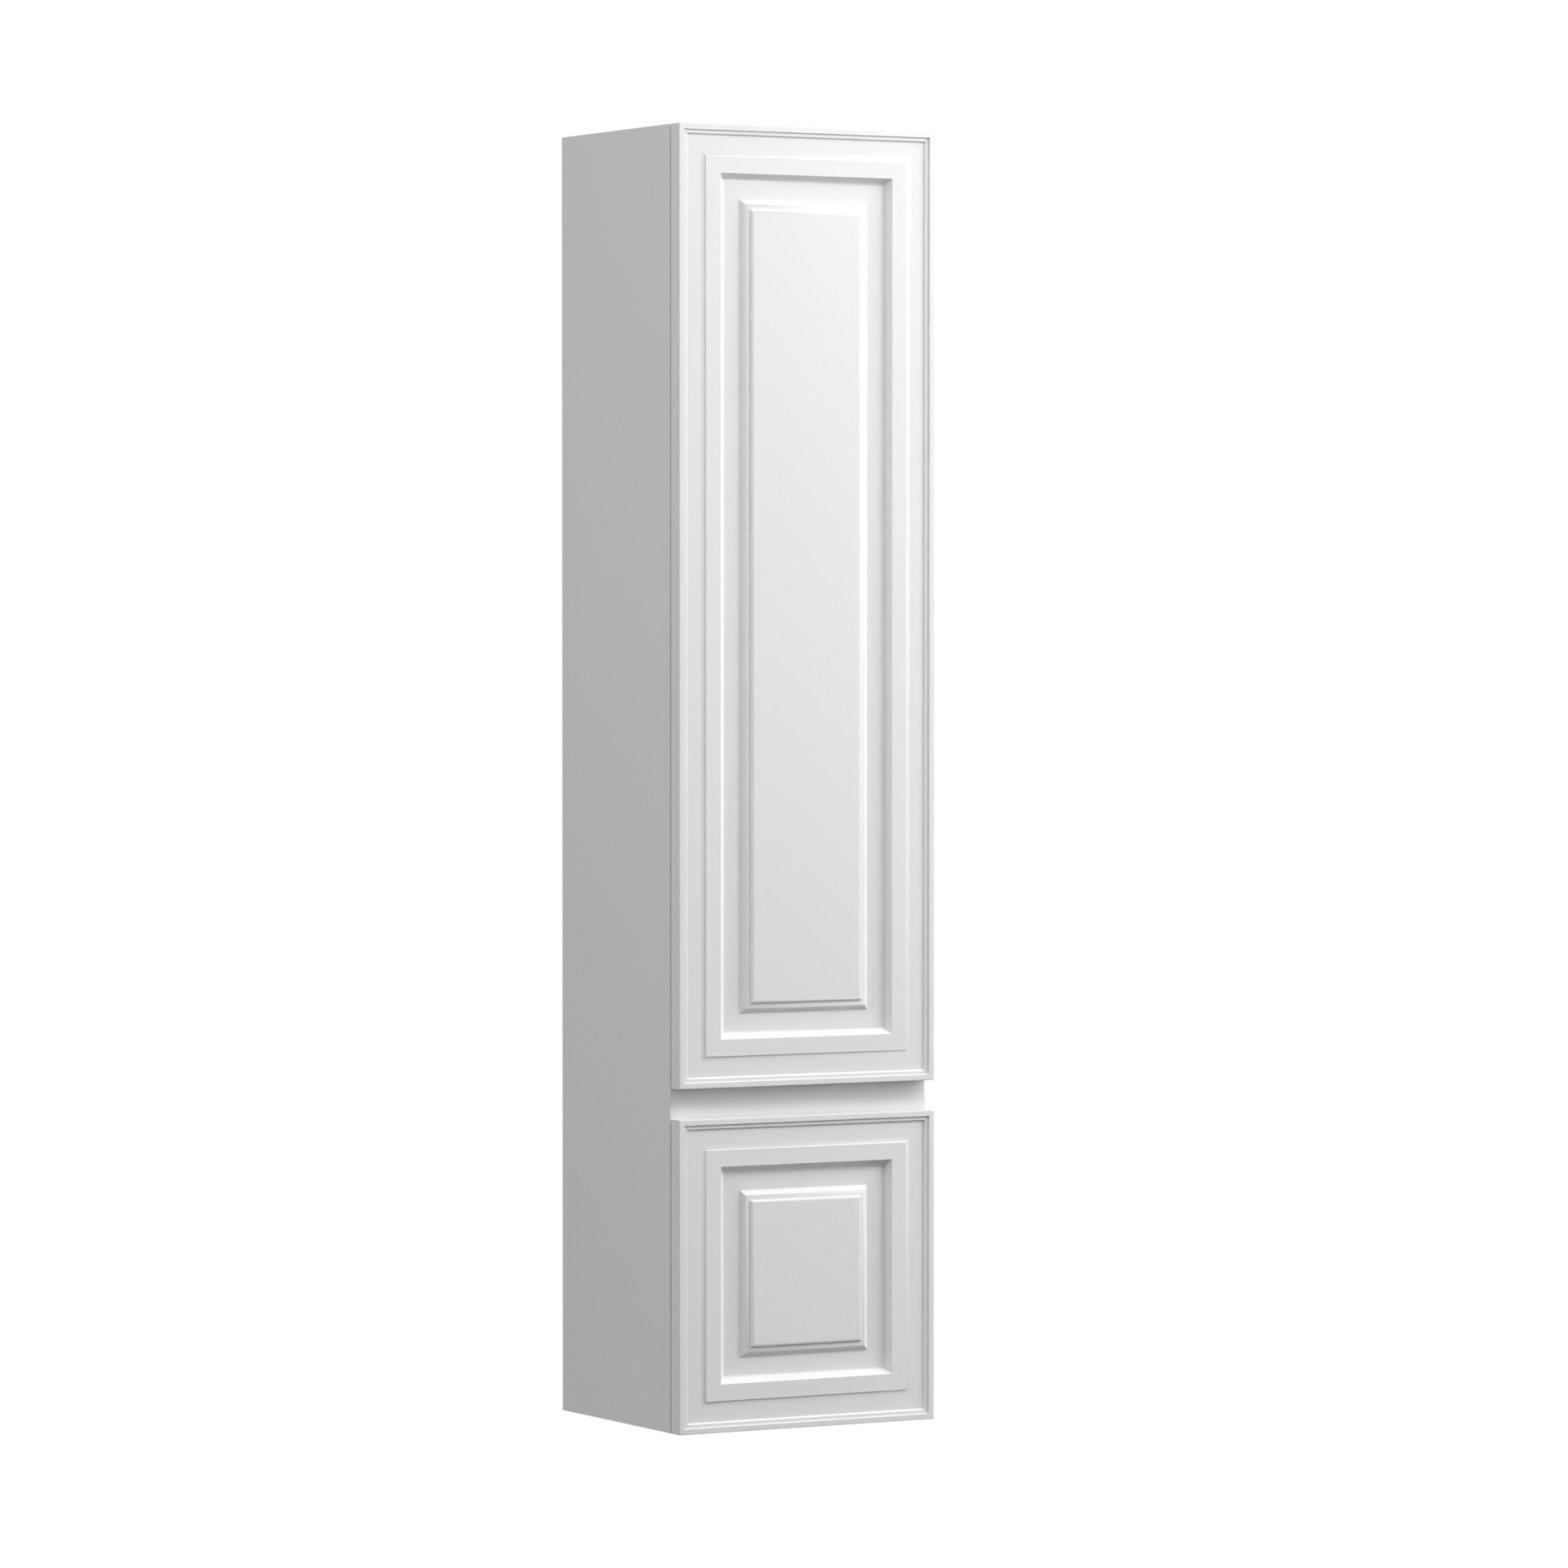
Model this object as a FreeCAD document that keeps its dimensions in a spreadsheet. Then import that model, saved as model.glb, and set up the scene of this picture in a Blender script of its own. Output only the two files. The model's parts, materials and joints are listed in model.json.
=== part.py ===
import FreeCAD, Part
import math
import os
from types import SimpleNamespace

import Sketcher
from FreeCAD import Placement, Rotation, Vector

# Tall wall-hung bathroom cabinet, in millimetres.
# X runs to the right along the front, Y runs into the wall, Z runs up.
# The origin is the middle of the two wall plates' screw pattern, on the face of the wall.

# --- sizes -----------------------------------------------------------------------------------

SIZES = {
    # the whole cabinet
    "width": 360,  # outer width
    "height": 1600,  # outer height
    "carcass_depth": 286,  # depth of the carcass, without the fronts
    "board": 18,  # thickness of the carcass boards
    "front_thick": 22,  # thickness of door and drawer fronts
    "front_gap": 2,  # gap between carcass and fronts
    "hang_drop": 80,  # from the cabinet's top down to the wall plates' screw centre

    # the two fronts and the finger gap between them
    "drawer_front_height": 385,  # height of the drawer front
    "finger_gap": 38,  # height of the finger gap between the fronts
    "rail_lap_up": 10,  # how far the finger rail reaches up behind the door
    "rail_lap_down": 12,  # how far the finger rail reaches down behind the drawer front

    # the moulding of both fronts: insets from the front's outer edge, depths below its rim
    "rim_inset": 6.8,  # width of the flat rim
    "step_inset": 8.2,  # foot of the first step
    "step_depth": 1.7,  # depth of the ledge
    "ledge_inset": 11.6,  # inner edge of the ledge
    "field_inset": 14.2,  # foot of the second step
    "field_depth": 4.2,  # depth of the flat field
    "second_radius": 2.6,  # radius of the second step's hollow
    "bevel_inset": 35.8,  # foot of the bevel up to the raised frame
    "frame_inset": 38.9,  # outer edge of the raised frame's face
    "frame_depth": 3.0,  # depth of the raised frame's face and of the centre panel
    "frame_inner_inset": 58.9,  # inner edge of the raised frame's face
    "wall_foot_inset": 63.4,  # foot of the straight wall inside the frame
    "wall_foot_depth": 9.6,  # depth of the straight wall's foot
    "cove_inset": 69.2,  # inner end of the cove
    "cove_radius": 7.6,  # radius of the cove
    "recess_depth": 12.2,  # depth of the recess floor
    "ovolo_inset": 89.8,  # foot of the centre panel's rounded edge
    "ovolo_top_inset": 102.2,  # top of the rounded edge
    "ovolo_top_depth": 5.6,  # depth of the rounded edge's top
    "ovolo_radius": 15,  # radius of the rounded edge
    "quirk_inset": 102.9,  # top of the small step on the rounded edge
    "quirk_depth": 4.3,  # depth of the small step's top
    "panel_inset": 106.6,  # edge of the centre panel's flat face
    "panel_radius": 6.6,  # radius at the centre panel's edge
    "arris_radius": 0.9,  # rounding of the fronts' outer arrises

    # back, lower rail and dowels
    "back_thick": 3,  # thickness of the back panel
    "back_recess": 18,  # room between back panel and wall
    "groove_deep": 6,  # depth of the grooves for thin panels
    "groove_play": 0.5,  # play at each edge of a thin panel in its grooves
    "lower_rail_height": 80,  # height of the lower back rail
    "wall_screw_spacing": 200,  # spacing of the lower rail's wall screw holes
    "wall_screw_hole": 6,  # diameter of the wall screw holes
    "dowel": 8,  # diameter of the dowels
    "dowel_play": 0.1,  # play of a dowel in its hole, on the diameter
    "dowel_in_side": 11,  # how deep a dowel sits in a side panel
    "dowel_in_end": 24,  # how deep a dowel sits in a panel's end
    "dowel_from_edge": 46,  # from a wide board's edge to its outer dowels
    "bore_end_play": 1,  # room behind the end of a dowel or a screw in its bore
    "rail_dowel_from_edge": 15,  # from a rail's edge to its dowels

    # shelves and their pins
    "shelf_clearance": 1,  # gap between a shelf and the sides
    "shelf_setback": 12,  # from the carcass's front edge to a shelf's front edge
    "pin_row_in": 37,  # from the carcass's front edge to the front row of pin holes
    "pin_row_back": 37,  # from the back panel to the rear row of pin holes
    "pin_pitch": 32,  # pitch of the shelf pin holes
    "pin_hole_count": 27,  # shelf pin holes in one row, whose middle is the door's middle
    "shelf_step_count": 9,  # pin holes from one shelf to the next
    "first_shelf_hole": 2,  # pin hole of the lowest shelf, counted from 0
    "pin_hole": 5.1,  # diameter of the shelf pin holes
    "pin_hole_deep": 11,  # depth of the shelf pin holes
    "pin": 5,  # diameter of the shelf pins
    "pin_in": 10,  # how deep a shelf pin sits in its hole
    "pin_out": 7,  # how far a shelf pin stands out
    "pin_collar": 8,  # diameter of the shelf pin's collar
    "pin_collar_thick": 0.8,  # thickness of the shelf pin's collar
    "pin_seat_play": 0.2,  # play round a shelf pin's collar under the shelf

    # concealed hinges: places are measured from the side's outer face (in) and the carcass front (back)
    "hinge_from_end": 100,  # from the door's ends to the outer hinges
    "cup_radius": 17.5,  # radius of the hinge cup
    "cup_from_edge": 3,  # from the door's edge to the cup
    "cup_deep": 11.5,  # depth of the hinge cup
    "cup_bore_play": 0.3,  # room below the cup in its bore
    "cup_play": 0.1,  # play of the cup in its bore, on the diameter
    "cup_wall": 0.8,  # wall of the hinge cup
    "flange_thick": 1.2,  # thickness of the cup's flange
    "flange_length": 60,  # height of the cup's flange
    "flange_in": 14,  # from the door's edge to the flange's outer edge
    "flange_width": 26,  # width of the cup's flange
    "cup_screw_in": 9.5,  # from the cup's centre to its screws, across the door
    "cup_screw_spacing": 45,  # spacing of the cup's two screws
    "pole_in": 6.8,  # door's turning line, from its edge
    "pole_deep": 12.5,  # door's turning line, below the door's rear face
    "door_opening": 100,  # opening angle of the door, in degrees
    "outer_pin_in": 36,  # outer link's arm pin, from the side's outer face
    "outer_pin_back": 8,  # outer link's arm pin, behind the carcass front
    "outer_reach": 6.5,  # outer link's cup pin, from the turning line
    "inner_pin_in": 38,  # inner link's arm pin, from the side's outer face
    "inner_pin_back": 4.6,  # inner link's arm pin, behind the carcass front
    "inner_reach": 7.5,  # inner link's cup pin, from the turning line
    "link_thick": 1.2,  # thickness of the links' steel strip
    "link_eye": 1.7,  # radius of the links' cup ends
    "link_barrel": 1.85,  # radius of the links' arm ends
    "link_pin": 2.0,  # diameter of the link pins
    "pin_running": 0.05,  # clearance of a link on its arm pin, on the radius
    "inner_link_width": 4.0,  # width of the inner link
    "outer_link_width": 8.8,  # width of the outer link over both cheeks
    "outer_cheek": 2.0,  # width of one cheek of the outer link
    "outer_deep_in": 21.6,  # outer link's deep bend, from the side's outer face
    "outer_deep_back": -11.3,  # outer link's deep bend, behind the carcass front
    "outer_rise_in": 24,  # outer link's rising bend, from the side's outer face
    "outer_rise_back": -9.3,  # outer link's rising bend, behind the carcass front
    "inner_deep_in": 16.2,  # inner link's deep bend, from the side's outer face
    "inner_deep_back": -10.6,  # inner link's deep bend, behind the carcass front
    "inner_rise_in": 26.4,  # inner link's rising bend, from the side's outer face
    "inner_rise_back": -0.4,  # inner link's rising bend, behind the carcass front
    "arm_width": 12.4,  # width of the hinge arm
    "arm_wall": 1.2,  # wall of the hinge arm
    "arm_front": 2.2,  # from the carcass front to the arm's front end
    "arm_length": 70,  # length of the hinge arm
    "arm_side_height": 12,  # height of the hinge arm's cheeks
    "arm_head_room": 0.3,  # room between the inner link's barrel and the arm's web
    "plate_thick": 3,  # thickness of the hinge plate
    "plate_height": 48,  # height of the hinge plate
    "plate_depth": 18,  # depth of the hinge plate's wings
    "plate_from_front": 37,  # from the carcass front to the plate's screws
    "plate_screw_spacing": 32,  # spacing of the hinge plate's screws
    "saddle_length": 38,  # length of the plate's saddle under the arm
    "saddle_play": 0.1,  # play between saddle and arm, on each side

    # drawer box and runners
    "drawer_board": 15,  # thickness of the drawer box's boards
    "drawer_back_room": 17,  # from the back panel to the drawer box
    "drawer_box_height": 220,  # height of the drawer box
    "drawer_lift": 14,  # from the bottom panel up to the drawer box
    "drawer_bottom_thick": 6,  # thickness of the drawer's bottom
    "drawer_bottom_up": 12,  # from the drawer box's lower edge to its bottom's groove
    "drawer_dowel_in_side": 10,  # how deep a dowel sits in a drawer side
    "drawer_dowel_in_end": 20,  # how deep a dowel sits in a drawer board's end
    "drawer_dowel_from_edge": 36,  # from the drawer box's edges to its outer dowels
    "runner_room": 13,  # room for the runner on each side of the drawer box
    "runner_up": 74,  # from the drawer box's lower edge to the runners' middle
    "runner_setback": 2,  # from the carcass front to the runners
    "runner_height": 45.6,  # height of the cabinet member
    "runner_sheet": 1.2,  # thickness of the runners' sheet steel
    "cabinet_member_deep": 8,  # depth of the cabinet member's channel
    "middle_member_height": 38,  # height of the middle member
    "middle_member_from": 2.4,  # from the side panel to the middle member's flanges
    "middle_member_web": 5.6,  # from the side panel to the middle member's web
    "middle_member_deep": 8,  # width of the middle member's flanges
    "drawer_member_height": 29,  # height of the drawer member
    "drawer_member_deep": 5,  # depth of the drawer member's channel
    "runner_screw_from_end": 35,  # from the runners' ends to their screws

    # wall hangers
    "plate_wide": 46,  # width of a wall plate
    "wall_plate_thick": 2.5,  # thickness of a wall plate
    "plate_inset": 3,  # from the side panel to the wall plate
    "plate_below": 26,  # wall plate's lower edge, below the screw centre
    "plate_above": 18,  # top of the wall plate's flat part, above the screw centre
    "lip_out": 8,  # how far the wall plate's lip stands off the wall
    "lip_top": 30,  # top of the wall plate's lip, above the screw centre
    "plate_screw_gap": 20,  # spacing of a wall plate's two screw holes
    "plate_screw_hole": 6.5,  # diameter of a wall plate's screw holes
    "hanger_wide": 18,  # width of a hanger's body
    "hanger_deep": 46,  # depth of a hanger's body
    "hanger_below": 0,  # hanger body's lower edge, above the screw centre
    "hanger_tall": 58,  # height of a hanger's body
    "hook_thick": 3,  # thickness of a hanger's hook
    "hook_tall": 10,  # height of a hanger's hook
    "hook_play": 0.4,  # room round the hook in the hanger's body
    "hook_inside": 30,  # how far the hook reaches into the hanger's body
    "hook_tip_drop": 8,  # how far the hook's tip reaches down behind the lip
    "hook_tip_gap": 0.9,  # gap between the hook's tip and the lip
    "hook_wall_gap": 1.2,  # gap between the hook's tip and the wall
    "hook_slot": 8,  # width of the hook's slot in the back panel
    "hook_slot_tall": 24,  # height of the hook's slot in the back panel
    "adjuster": 7,  # diameter of the hangers' adjusting screws
    "adjuster_in": 8,  # how deep the adjusting screws sit
    "adjuster_up": 12,  # lower adjusting screw, above the hanger body's lower edge
    "cover_wall": 1.2,  # wall of a hanger's cover
    "cover_play": 0.3,  # play between a hanger and its cover
    "cover_front_room": 3,  # room in the cover in front of the hanger's screws

    # small fastenings
    "bumper": 8,  # diameter of the front bumpers
    "bumper_thick": 1.8,  # thickness of the front bumpers
    "bumper_from_end": 30,  # from a front's end to its bumpers
    "screw_head": 7,  # diameter of the small screws' heads
    "screw_head_thick": 2,  # height of the small screws' heads
    "flat_head_thick": 1.4,  # height of the runner screws' flat heads
    "screw_shank": 3.6,  # diameter of the small screws' shanks
    "screw_play": 0.2,  # play of a screw in its hole, on the diameter
    "screw_in": 11,  # how deep the small screws reach into wood
    "front_screw_in": 10,  # how deep a front screw reaches into the drawer front
    "front_screw_from_edge": 52,  # from the drawer front's side edges to its screws
    "front_screw_spacing": 128,  # vertical spacing of the drawer front's screws
    "front_screw_up": 46,  # from the drawer box's lower edge to the lower front screws
}

shelf_count = 3
hinge_count = 3

doc = FreeCAD.newDocument("tall_cabinet")
sheet = doc.addObject("Spreadsheet::Sheet", "Sizes")


def number(value):
    return value.value if isinstance(value, Size) else float(value)


def text(value):
    return value.text if isinstance(value, Size) else repr(value)


class Size:
    """A driving dimension of the sheet, or a formula of them: its text and its present value."""

    def __init__(self, formula, value):
        self.text = formula
        self.value = value

    def joined(self, sign, other, value):
        return Size("(" + self.text + " " + sign + " " + text(other) + ")", value)

    def __add__(self, other):
        return self.joined("+", other, self.value + number(other))

    def __sub__(self, other):
        return self.joined("-", other, self.value - number(other))

    def __mul__(self, other):
        return self.joined("*", other, self.value * number(other))

    def __truediv__(self, other):
        return self.joined("/", other, self.value / number(other))

    def __neg__(self):
        return Size("(0 - " + self.text + ")", -self.value)

    def __radd__(self, other):
        return Size(text(other), number(other)) + self

    def __rsub__(self, other):
        return Size(text(other), number(other)) - self

    def __rmul__(self, other):
        return Size(text(other), number(other)) * self


def sheet_size(row, alias, value):
    """Write one driving dimension into the sheet and give it its alias."""
    cell = "B" + str(row)
    sheet.set("A" + str(row), alias.replace("_", " "))
    sheet.set(cell, str(value))
    sheet.setAlias(cell, alias)
    return Size("Sizes." + alias, float(value))


s = SimpleNamespace(**{alias: sheet_size(row + 1, alias, SIZES[alias]) for row, alias in enumerate(SIZES)})

# --- places that follow from the sizes ---------------------------------------------------------

inner_width = s.width - 2 * s.board
bottom_z = s.hang_drop - s.height
front_y = -s.carcass_depth
door_height = s.height - s.drawer_front_height - s.finger_gap
door_z = bottom_z + s.drawer_front_height + s.finger_gap
rail_height = s.finger_gap + s.rail_lap_up + s.rail_lap_down
rail_z = bottom_z + s.drawer_front_height - s.rail_lap_down
middle_z = rail_z + rail_height - s.board
back_y = -(s.back_recess + s.back_thick)
drawer_box_width = inner_width - 2 * s.runner_room
drawer_box_z = bottom_z + s.board + s.drawer_lift
drawer_box_y = front_y - s.front_gap
drawer_length = back_y - s.drawer_back_room - drawer_box_y
runner_z = drawer_box_z + s.runner_up
runner_y = front_y + s.runner_setback
runner_screw_rows = [s.runner_screw_from_end, drawer_length - s.runner_screw_from_end]
shelf_y = front_y + s.shelf_setback
shelf_depth = back_y - shelf_y
shelf_width = inner_width - 2 * s.shelf_clearance
pin_row_z = door_z + door_height / 2 - s.pin_pitch * (s.pin_hole_count - 1) / 2
hook_x = inner_width / 2 - s.hanger_wide / 2


# --- modelling helpers -------------------------------------------------------------------------


parts = []


def keep(thing, name):
    """Name a finished sub-part and remember it for the export."""
    thing.Label = name
    parts.append(thing)
    return thing


def bind(thing, prop, value):
    thing.setExpression(prop, text(value))


def put(thing, x, y, z):
    """Bind a thing's place."""
    for axis, value in (("x", x), ("y", y), ("z", z)):
        bind(thing, "Placement.Base." + axis, value)


def turn(thing, axis, degrees):
    thing.Placement = Placement(Vector(0, 0, 0), Rotation(axis, degrees))


def new_body(name):
    return doc.addObject("PartDesign::Body", name)


def new_sketch(body, plane, offset=0):
    """A sketch on one of its body's own origin planes, moved along that plane's normal."""
    sketch = body.newObject("Sketcher::SketchObject", body.Name + "_sketch")
    for feature in body.Origin.OriginFeatures:
        if feature.Role == plane:
            sketch.AttachmentSupport = (feature, [""])
    sketch.MapMode = "FlatFace"
    bind(sketch, "AttachmentOffset.Base.z", offset)
    return sketch


def hold(sketch, geometry, end, across, up):
    """Hold one end of a sketch line at a place, by two dimensions from the sketch's origin."""
    for kind, value, axis in (("DistanceX", across, -2), ("DistanceY", up, -1)):
        if isinstance(value, Size):
            index = sketch.addConstraint(
                Sketcher.Constraint(kind, -1, 1, geometry, end, value.value))
            bind(sketch, "Constraints[" + str(index) + "]", value)
        else:
            sketch.addConstraint(Sketcher.Constraint("PointOnObject", geometry, end, axis))


def outline(sketch, corners, arcs=None):
    """A closed outline through the corners. arcs gives, by the number of the corner where one
    starts, an arc's radius and the side that its centre lies on (1 left, -1 right)."""
    arcs = arcs or {}
    start = sketch.GeometryCount
    places = [Vector(number(across), number(up), 0) for across, up in corners]
    count = len(corners)
    for i in range(count):
        here = places[i]
        there = places[(i + 1) % count]
        if i in arcs:
            radius, side = arcs[i]
            sketch.addGeometry(Part.Arc(here, arc_middle(here, there, radius.value, side), there))
        else:
            sketch.addGeometry(Part.LineSegment(here, there))
    joints = [arc_ends(arcs[i][1]) if i in arcs else (1, 2) for i in range(count)]
    for i in range(count):
        sketch.addConstraint(Sketcher.Constraint(
            "Coincident", start + i, joints[i][1], start + (i + 1) % count, joints[(i + 1) % count][0]))
    for i, (across, up) in enumerate(corners):
        hold(sketch, start + i, joints[i][0], across, up)
    for i in arcs:
        index = sketch.addConstraint(Sketcher.Constraint("Radius", start + i, arcs[i][0].value))
        bind(sketch, "Constraints[" + str(index) + "]", arcs[i][0])


def arc_middle(here, there, radius, side):
    """The middle point of the short arc from here to there."""
    chord = there - here
    half = chord.Length / 2
    bulge = radius - math.sqrt(radius * radius - half * half)
    left = Vector(-chord.y, chord.x, 0).normalize()
    return (here + there) * 0.5 - left * (bulge * side)


def arc_ends(side):
    """A sketch stores every arc counter-clockwise, so one that turns round a centre on its right
    is stored from its last end, 2, to its first, 1."""
    return (1, 2) if side > 0 else (2, 1)


def rectangle(sketch, left, low, across, up):
    outline(sketch, [(left, low), (left + across, low), (left + across, low + up), (left, low + up)])


def circle(sketch, across, up, diameter):
    index = sketch.addGeometry(
        Part.Circle(Vector(number(across), number(up), 0), Vector(0, 0, 1), number(diameter) / 2))
    hold(sketch, index, 3, across, up)
    rule = sketch.addConstraint(Sketcher.Constraint("Diameter", index, number(diameter)))
    bind(sketch, "Constraints[" + str(rule) + "]", diameter)


def pad(body, sketch, length, reverse=False):
    feature = body.newObject("PartDesign::Pad", body.Name + "_pad")
    feature.Profile = sketch
    feature.Reversed = reverse
    bind(feature, "Length", length)
    doc.recompute()
    return feature


def pocket(body, sketch, depth, reverse=False):
    """Cut a sketch into its body, and make sure that it does cut."""
    before = body.Shape.Volume
    feature = body.newObject("PartDesign::Pocket", body.Name + "_pocket")
    feature.Profile = sketch
    feature.Reversed = reverse
    bind(feature, "Length", depth)
    doc.recompute()
    if not body.Shape.Volume < before:
        raise RuntimeError(body.Name + ": a pocket cuts nothing")
    return feature


def plank(name, x, y, z, across, deep, tall):
    """A rectangular board, drawn from its lower left front corner and put in its place."""
    body = new_body(name)
    sketch = new_sketch(body, "XY_Plane")
    outline(sketch, [(0, 0), (across, 0), (across, deep), (0, deep)])
    pad(body, sketch, tall)
    put(body, x, y, z)
    return keep(body, name)


def drill_x(body, offset, holes, diameter, depth, towards_plus):
    """Round holes along X, from the plane at offset; holes are places in Y and Z."""
    sketch = new_sketch(body, "YZ_Plane", offset)
    for y, z in holes:
        circle(sketch, y, z, diameter)
    return pocket(body, sketch, depth, reverse=towards_plus)


def drill_y(body, offset, holes, diameter, depth, towards_plus):
    """Round holes along Y, from the plane at offset; holes are places in X and Z."""
    sketch = new_sketch(body, "XZ_Plane", -offset if isinstance(offset, Size) else offset)
    for x, z in holes:
        circle(sketch, x, z, diameter)
    return pocket(body, sketch, depth, reverse=not towards_plus)


def box(name, x, y, z, across, deep, tall):
    shape = doc.addObject("Part::Box", name)
    bind(shape, "Length", across)
    bind(shape, "Width", deep)
    bind(shape, "Height", tall)
    put(shape, x, y, z)
    return shape


AXES = {"x": (Vector(0, 1, 0), 90), "-x": (Vector(0, 1, 0), -90),
        "y": (Vector(1, 0, 0), -90), "-y": (Vector(1, 0, 0), 90), "z": (Vector(0, 0, 1), 0)}


def rod(name, x, y, z, diameter, length, along):
    """A cylinder from a point, along x, -x, y, -y or z."""
    shape = doc.addObject("Part::Cylinder", name)
    turn(shape, *AXES[along])
    bind(shape, "Radius", diameter / 2)
    bind(shape, "Height", length)
    put(shape, x, y, z)
    return shape


def joined(name, pieces):
    shape = doc.addObject("Part::MultiFuse", name)
    shape.Shapes = pieces
    shape.Refine = True
    return shape


def cut(name, base, tool):
    shape = doc.addObject("Part::Cut", name)
    shape.Base = base
    shape.Tool = tool
    return shape


def group(name, pieces):
    """Like pieces that share one node, each still a solid of its own."""
    shape = doc.addObject("Part::Compound", name)
    shape.Links = pieces
    return keep(shape, name)


def screw(name, x, y, z, into, reach):
    """A pan-head screw whose head rests on the face at the point; into is its direction."""
    out = into[1:] if into.startswith("-") else "-" + into
    head = rod(name + "_head", x, y, z, s.screw_head, s.screw_head_thick, out)
    shank = rod(name + "_shank", x, y, z, s.screw_shank, reach, into)
    return joined(name, [head, shank])


# --- carcass -----------------------------------------------------------------------------------


def wide_rows(depth):
    """Dowel places across a wide board: near each edge and in the middle."""
    return [s.dowel_from_edge, depth / 2, depth - s.dowel_from_edge]


middle_depth = s.carcass_depth + back_y - s.board
panel_rows = [(y, z) for z in (s.board / 2, s.height - s.board / 2) for y in wide_rows(s.carcass_depth)]
middle_rows = [(s.board + y, middle_z - bottom_z + s.board / 2) for y in wide_rows(middle_depth)]
rail_rows = [(s.board / 2, rail_z - bottom_z + z)
             for z in (s.rail_dowel_from_edge, rail_height - s.rail_dowel_from_edge)]
lower_rail_rows = [(s.carcass_depth - s.back_recess / 2, s.board + z)
                   for z in (s.rail_dowel_from_edge, s.lower_rail_height - s.rail_dowel_from_edge)]
side_dowels = panel_rows + middle_rows + rail_rows + lower_rail_rows
dowel_bore = s.dowel + s.dowel_play
groove_y = s.carcass_depth + back_y


def pattern_up(body, feature, occurrences, pitch):
    rows = body.newObject("PartDesign::LinearPattern", body.Name + "_rows")
    rows.Originals = [feature]
    for axis in body.Origin.OriginFeatures:
        if axis.Role == "Z_Axis":
            rows.Direction = (axis, [""])
    bind(rows, "Occurrences", occurrences)
    bind(rows, "Length", pitch * (occurrences - 1))
    body.Tip = rows
    doc.recompute()


def side_panel(name, x, inner_face, inwards_plus):
    """A side panel; inner_face is its inner side in its own X, where everything is drilled."""
    body = plank(name, x, front_y, bottom_z, s.board, s.carcass_depth, s.height)
    drill_x(body, inner_face, side_dowels, dowel_bore, s.dowel_in_side + s.bore_end_play, inwards_plus)
    groove = new_sketch(body, "YZ_Plane", inner_face)
    rectangle(groove, groove_y, s.board - s.groove_deep, s.back_thick,
              s.height - 2 * s.board + 2 * s.groove_deep)
    pocket(body, groove, s.groove_deep, reverse=inwards_plus)
    row_z = pin_row_z - bottom_z
    rows = [(s.pin_row_in, row_z), (groove_y - s.pin_row_back, row_z)]
    holes = drill_x(body, inner_face, rows, s.pin_hole, s.pin_hole_deep, inwards_plus)
    pattern_up(body, holes, s.pin_hole_count, s.pin_pitch)
    return body


def drill_ends(body, across, rows, diameter, depth):
    """The same dowel holes in both ends of a board that runs along X."""
    drill_x(body, 0, rows, diameter, depth, True)
    drill_x(body, across, rows, diameter, depth, False)


def back_slot(body, low):
    """The groove that a top or bottom panel has for the back panel."""
    groove = new_sketch(body, "XY_Plane", s.board if low else 0)
    outline(groove, [(0, groove_y), (inner_width, groove_y),
                     (inner_width, groove_y + s.back_thick), (0, groove_y + s.back_thick)])
    pocket(body, groove, s.groove_deep, reverse=not low)


left_inside = -(inner_width / 2)
right_inside = inner_width / 2
end_bore_depth = s.dowel_in_end + s.bore_end_play

side_left = side_panel("side_panel_left", -(s.width / 2), s.board, False)
side_right = side_panel("side_panel_right", right_inside, 0, True)

for panel_name, panel_z, is_bottom in (("top_panel", s.hang_drop - s.board, False),
                                       ("bottom_panel", bottom_z, True)):
    panel = plank(panel_name, left_inside, front_y, panel_z, inner_width, s.carcass_depth, s.board)
    drill_ends(panel, inner_width, [(y, s.board / 2) for y in wide_rows(s.carcass_depth)],
               dowel_bore, end_bore_depth)
    back_slot(panel, is_bottom)

middle = plank("middle_panel", left_inside, front_y + s.board, middle_z, inner_width, middle_depth, s.board)
drill_ends(middle, inner_width, [(y, s.board / 2) for y in wide_rows(middle_depth)],
           dowel_bore, end_bore_depth)

finger_rail = plank("finger_rail", left_inside, front_y, rail_z, inner_width, s.board, rail_height)
drill_ends(finger_rail, inner_width,
           [(s.board / 2, s.rail_dowel_from_edge), (s.board / 2, rail_height - s.rail_dowel_from_edge)],
           dowel_bore, end_bore_depth)

lower_rail = plank("lower_back_rail", left_inside, -s.back_recess, bottom_z + s.board,
                   inner_width, s.back_recess, s.lower_rail_height)
drill_ends(lower_rail, inner_width,
           [(s.back_recess / 2, s.rail_dowel_from_edge),
            (s.back_recess / 2, s.lower_rail_height - s.rail_dowel_from_edge)],
           dowel_bore, end_bore_depth)
wall_screws_x = [inner_width / 2 - s.wall_screw_spacing / 2, inner_width / 2 + s.wall_screw_spacing / 2]
drill_y(lower_rail, 0, [(x, s.lower_rail_height / 2) for x in wall_screws_x],
        s.wall_screw_hole, s.back_recess, True)


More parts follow.
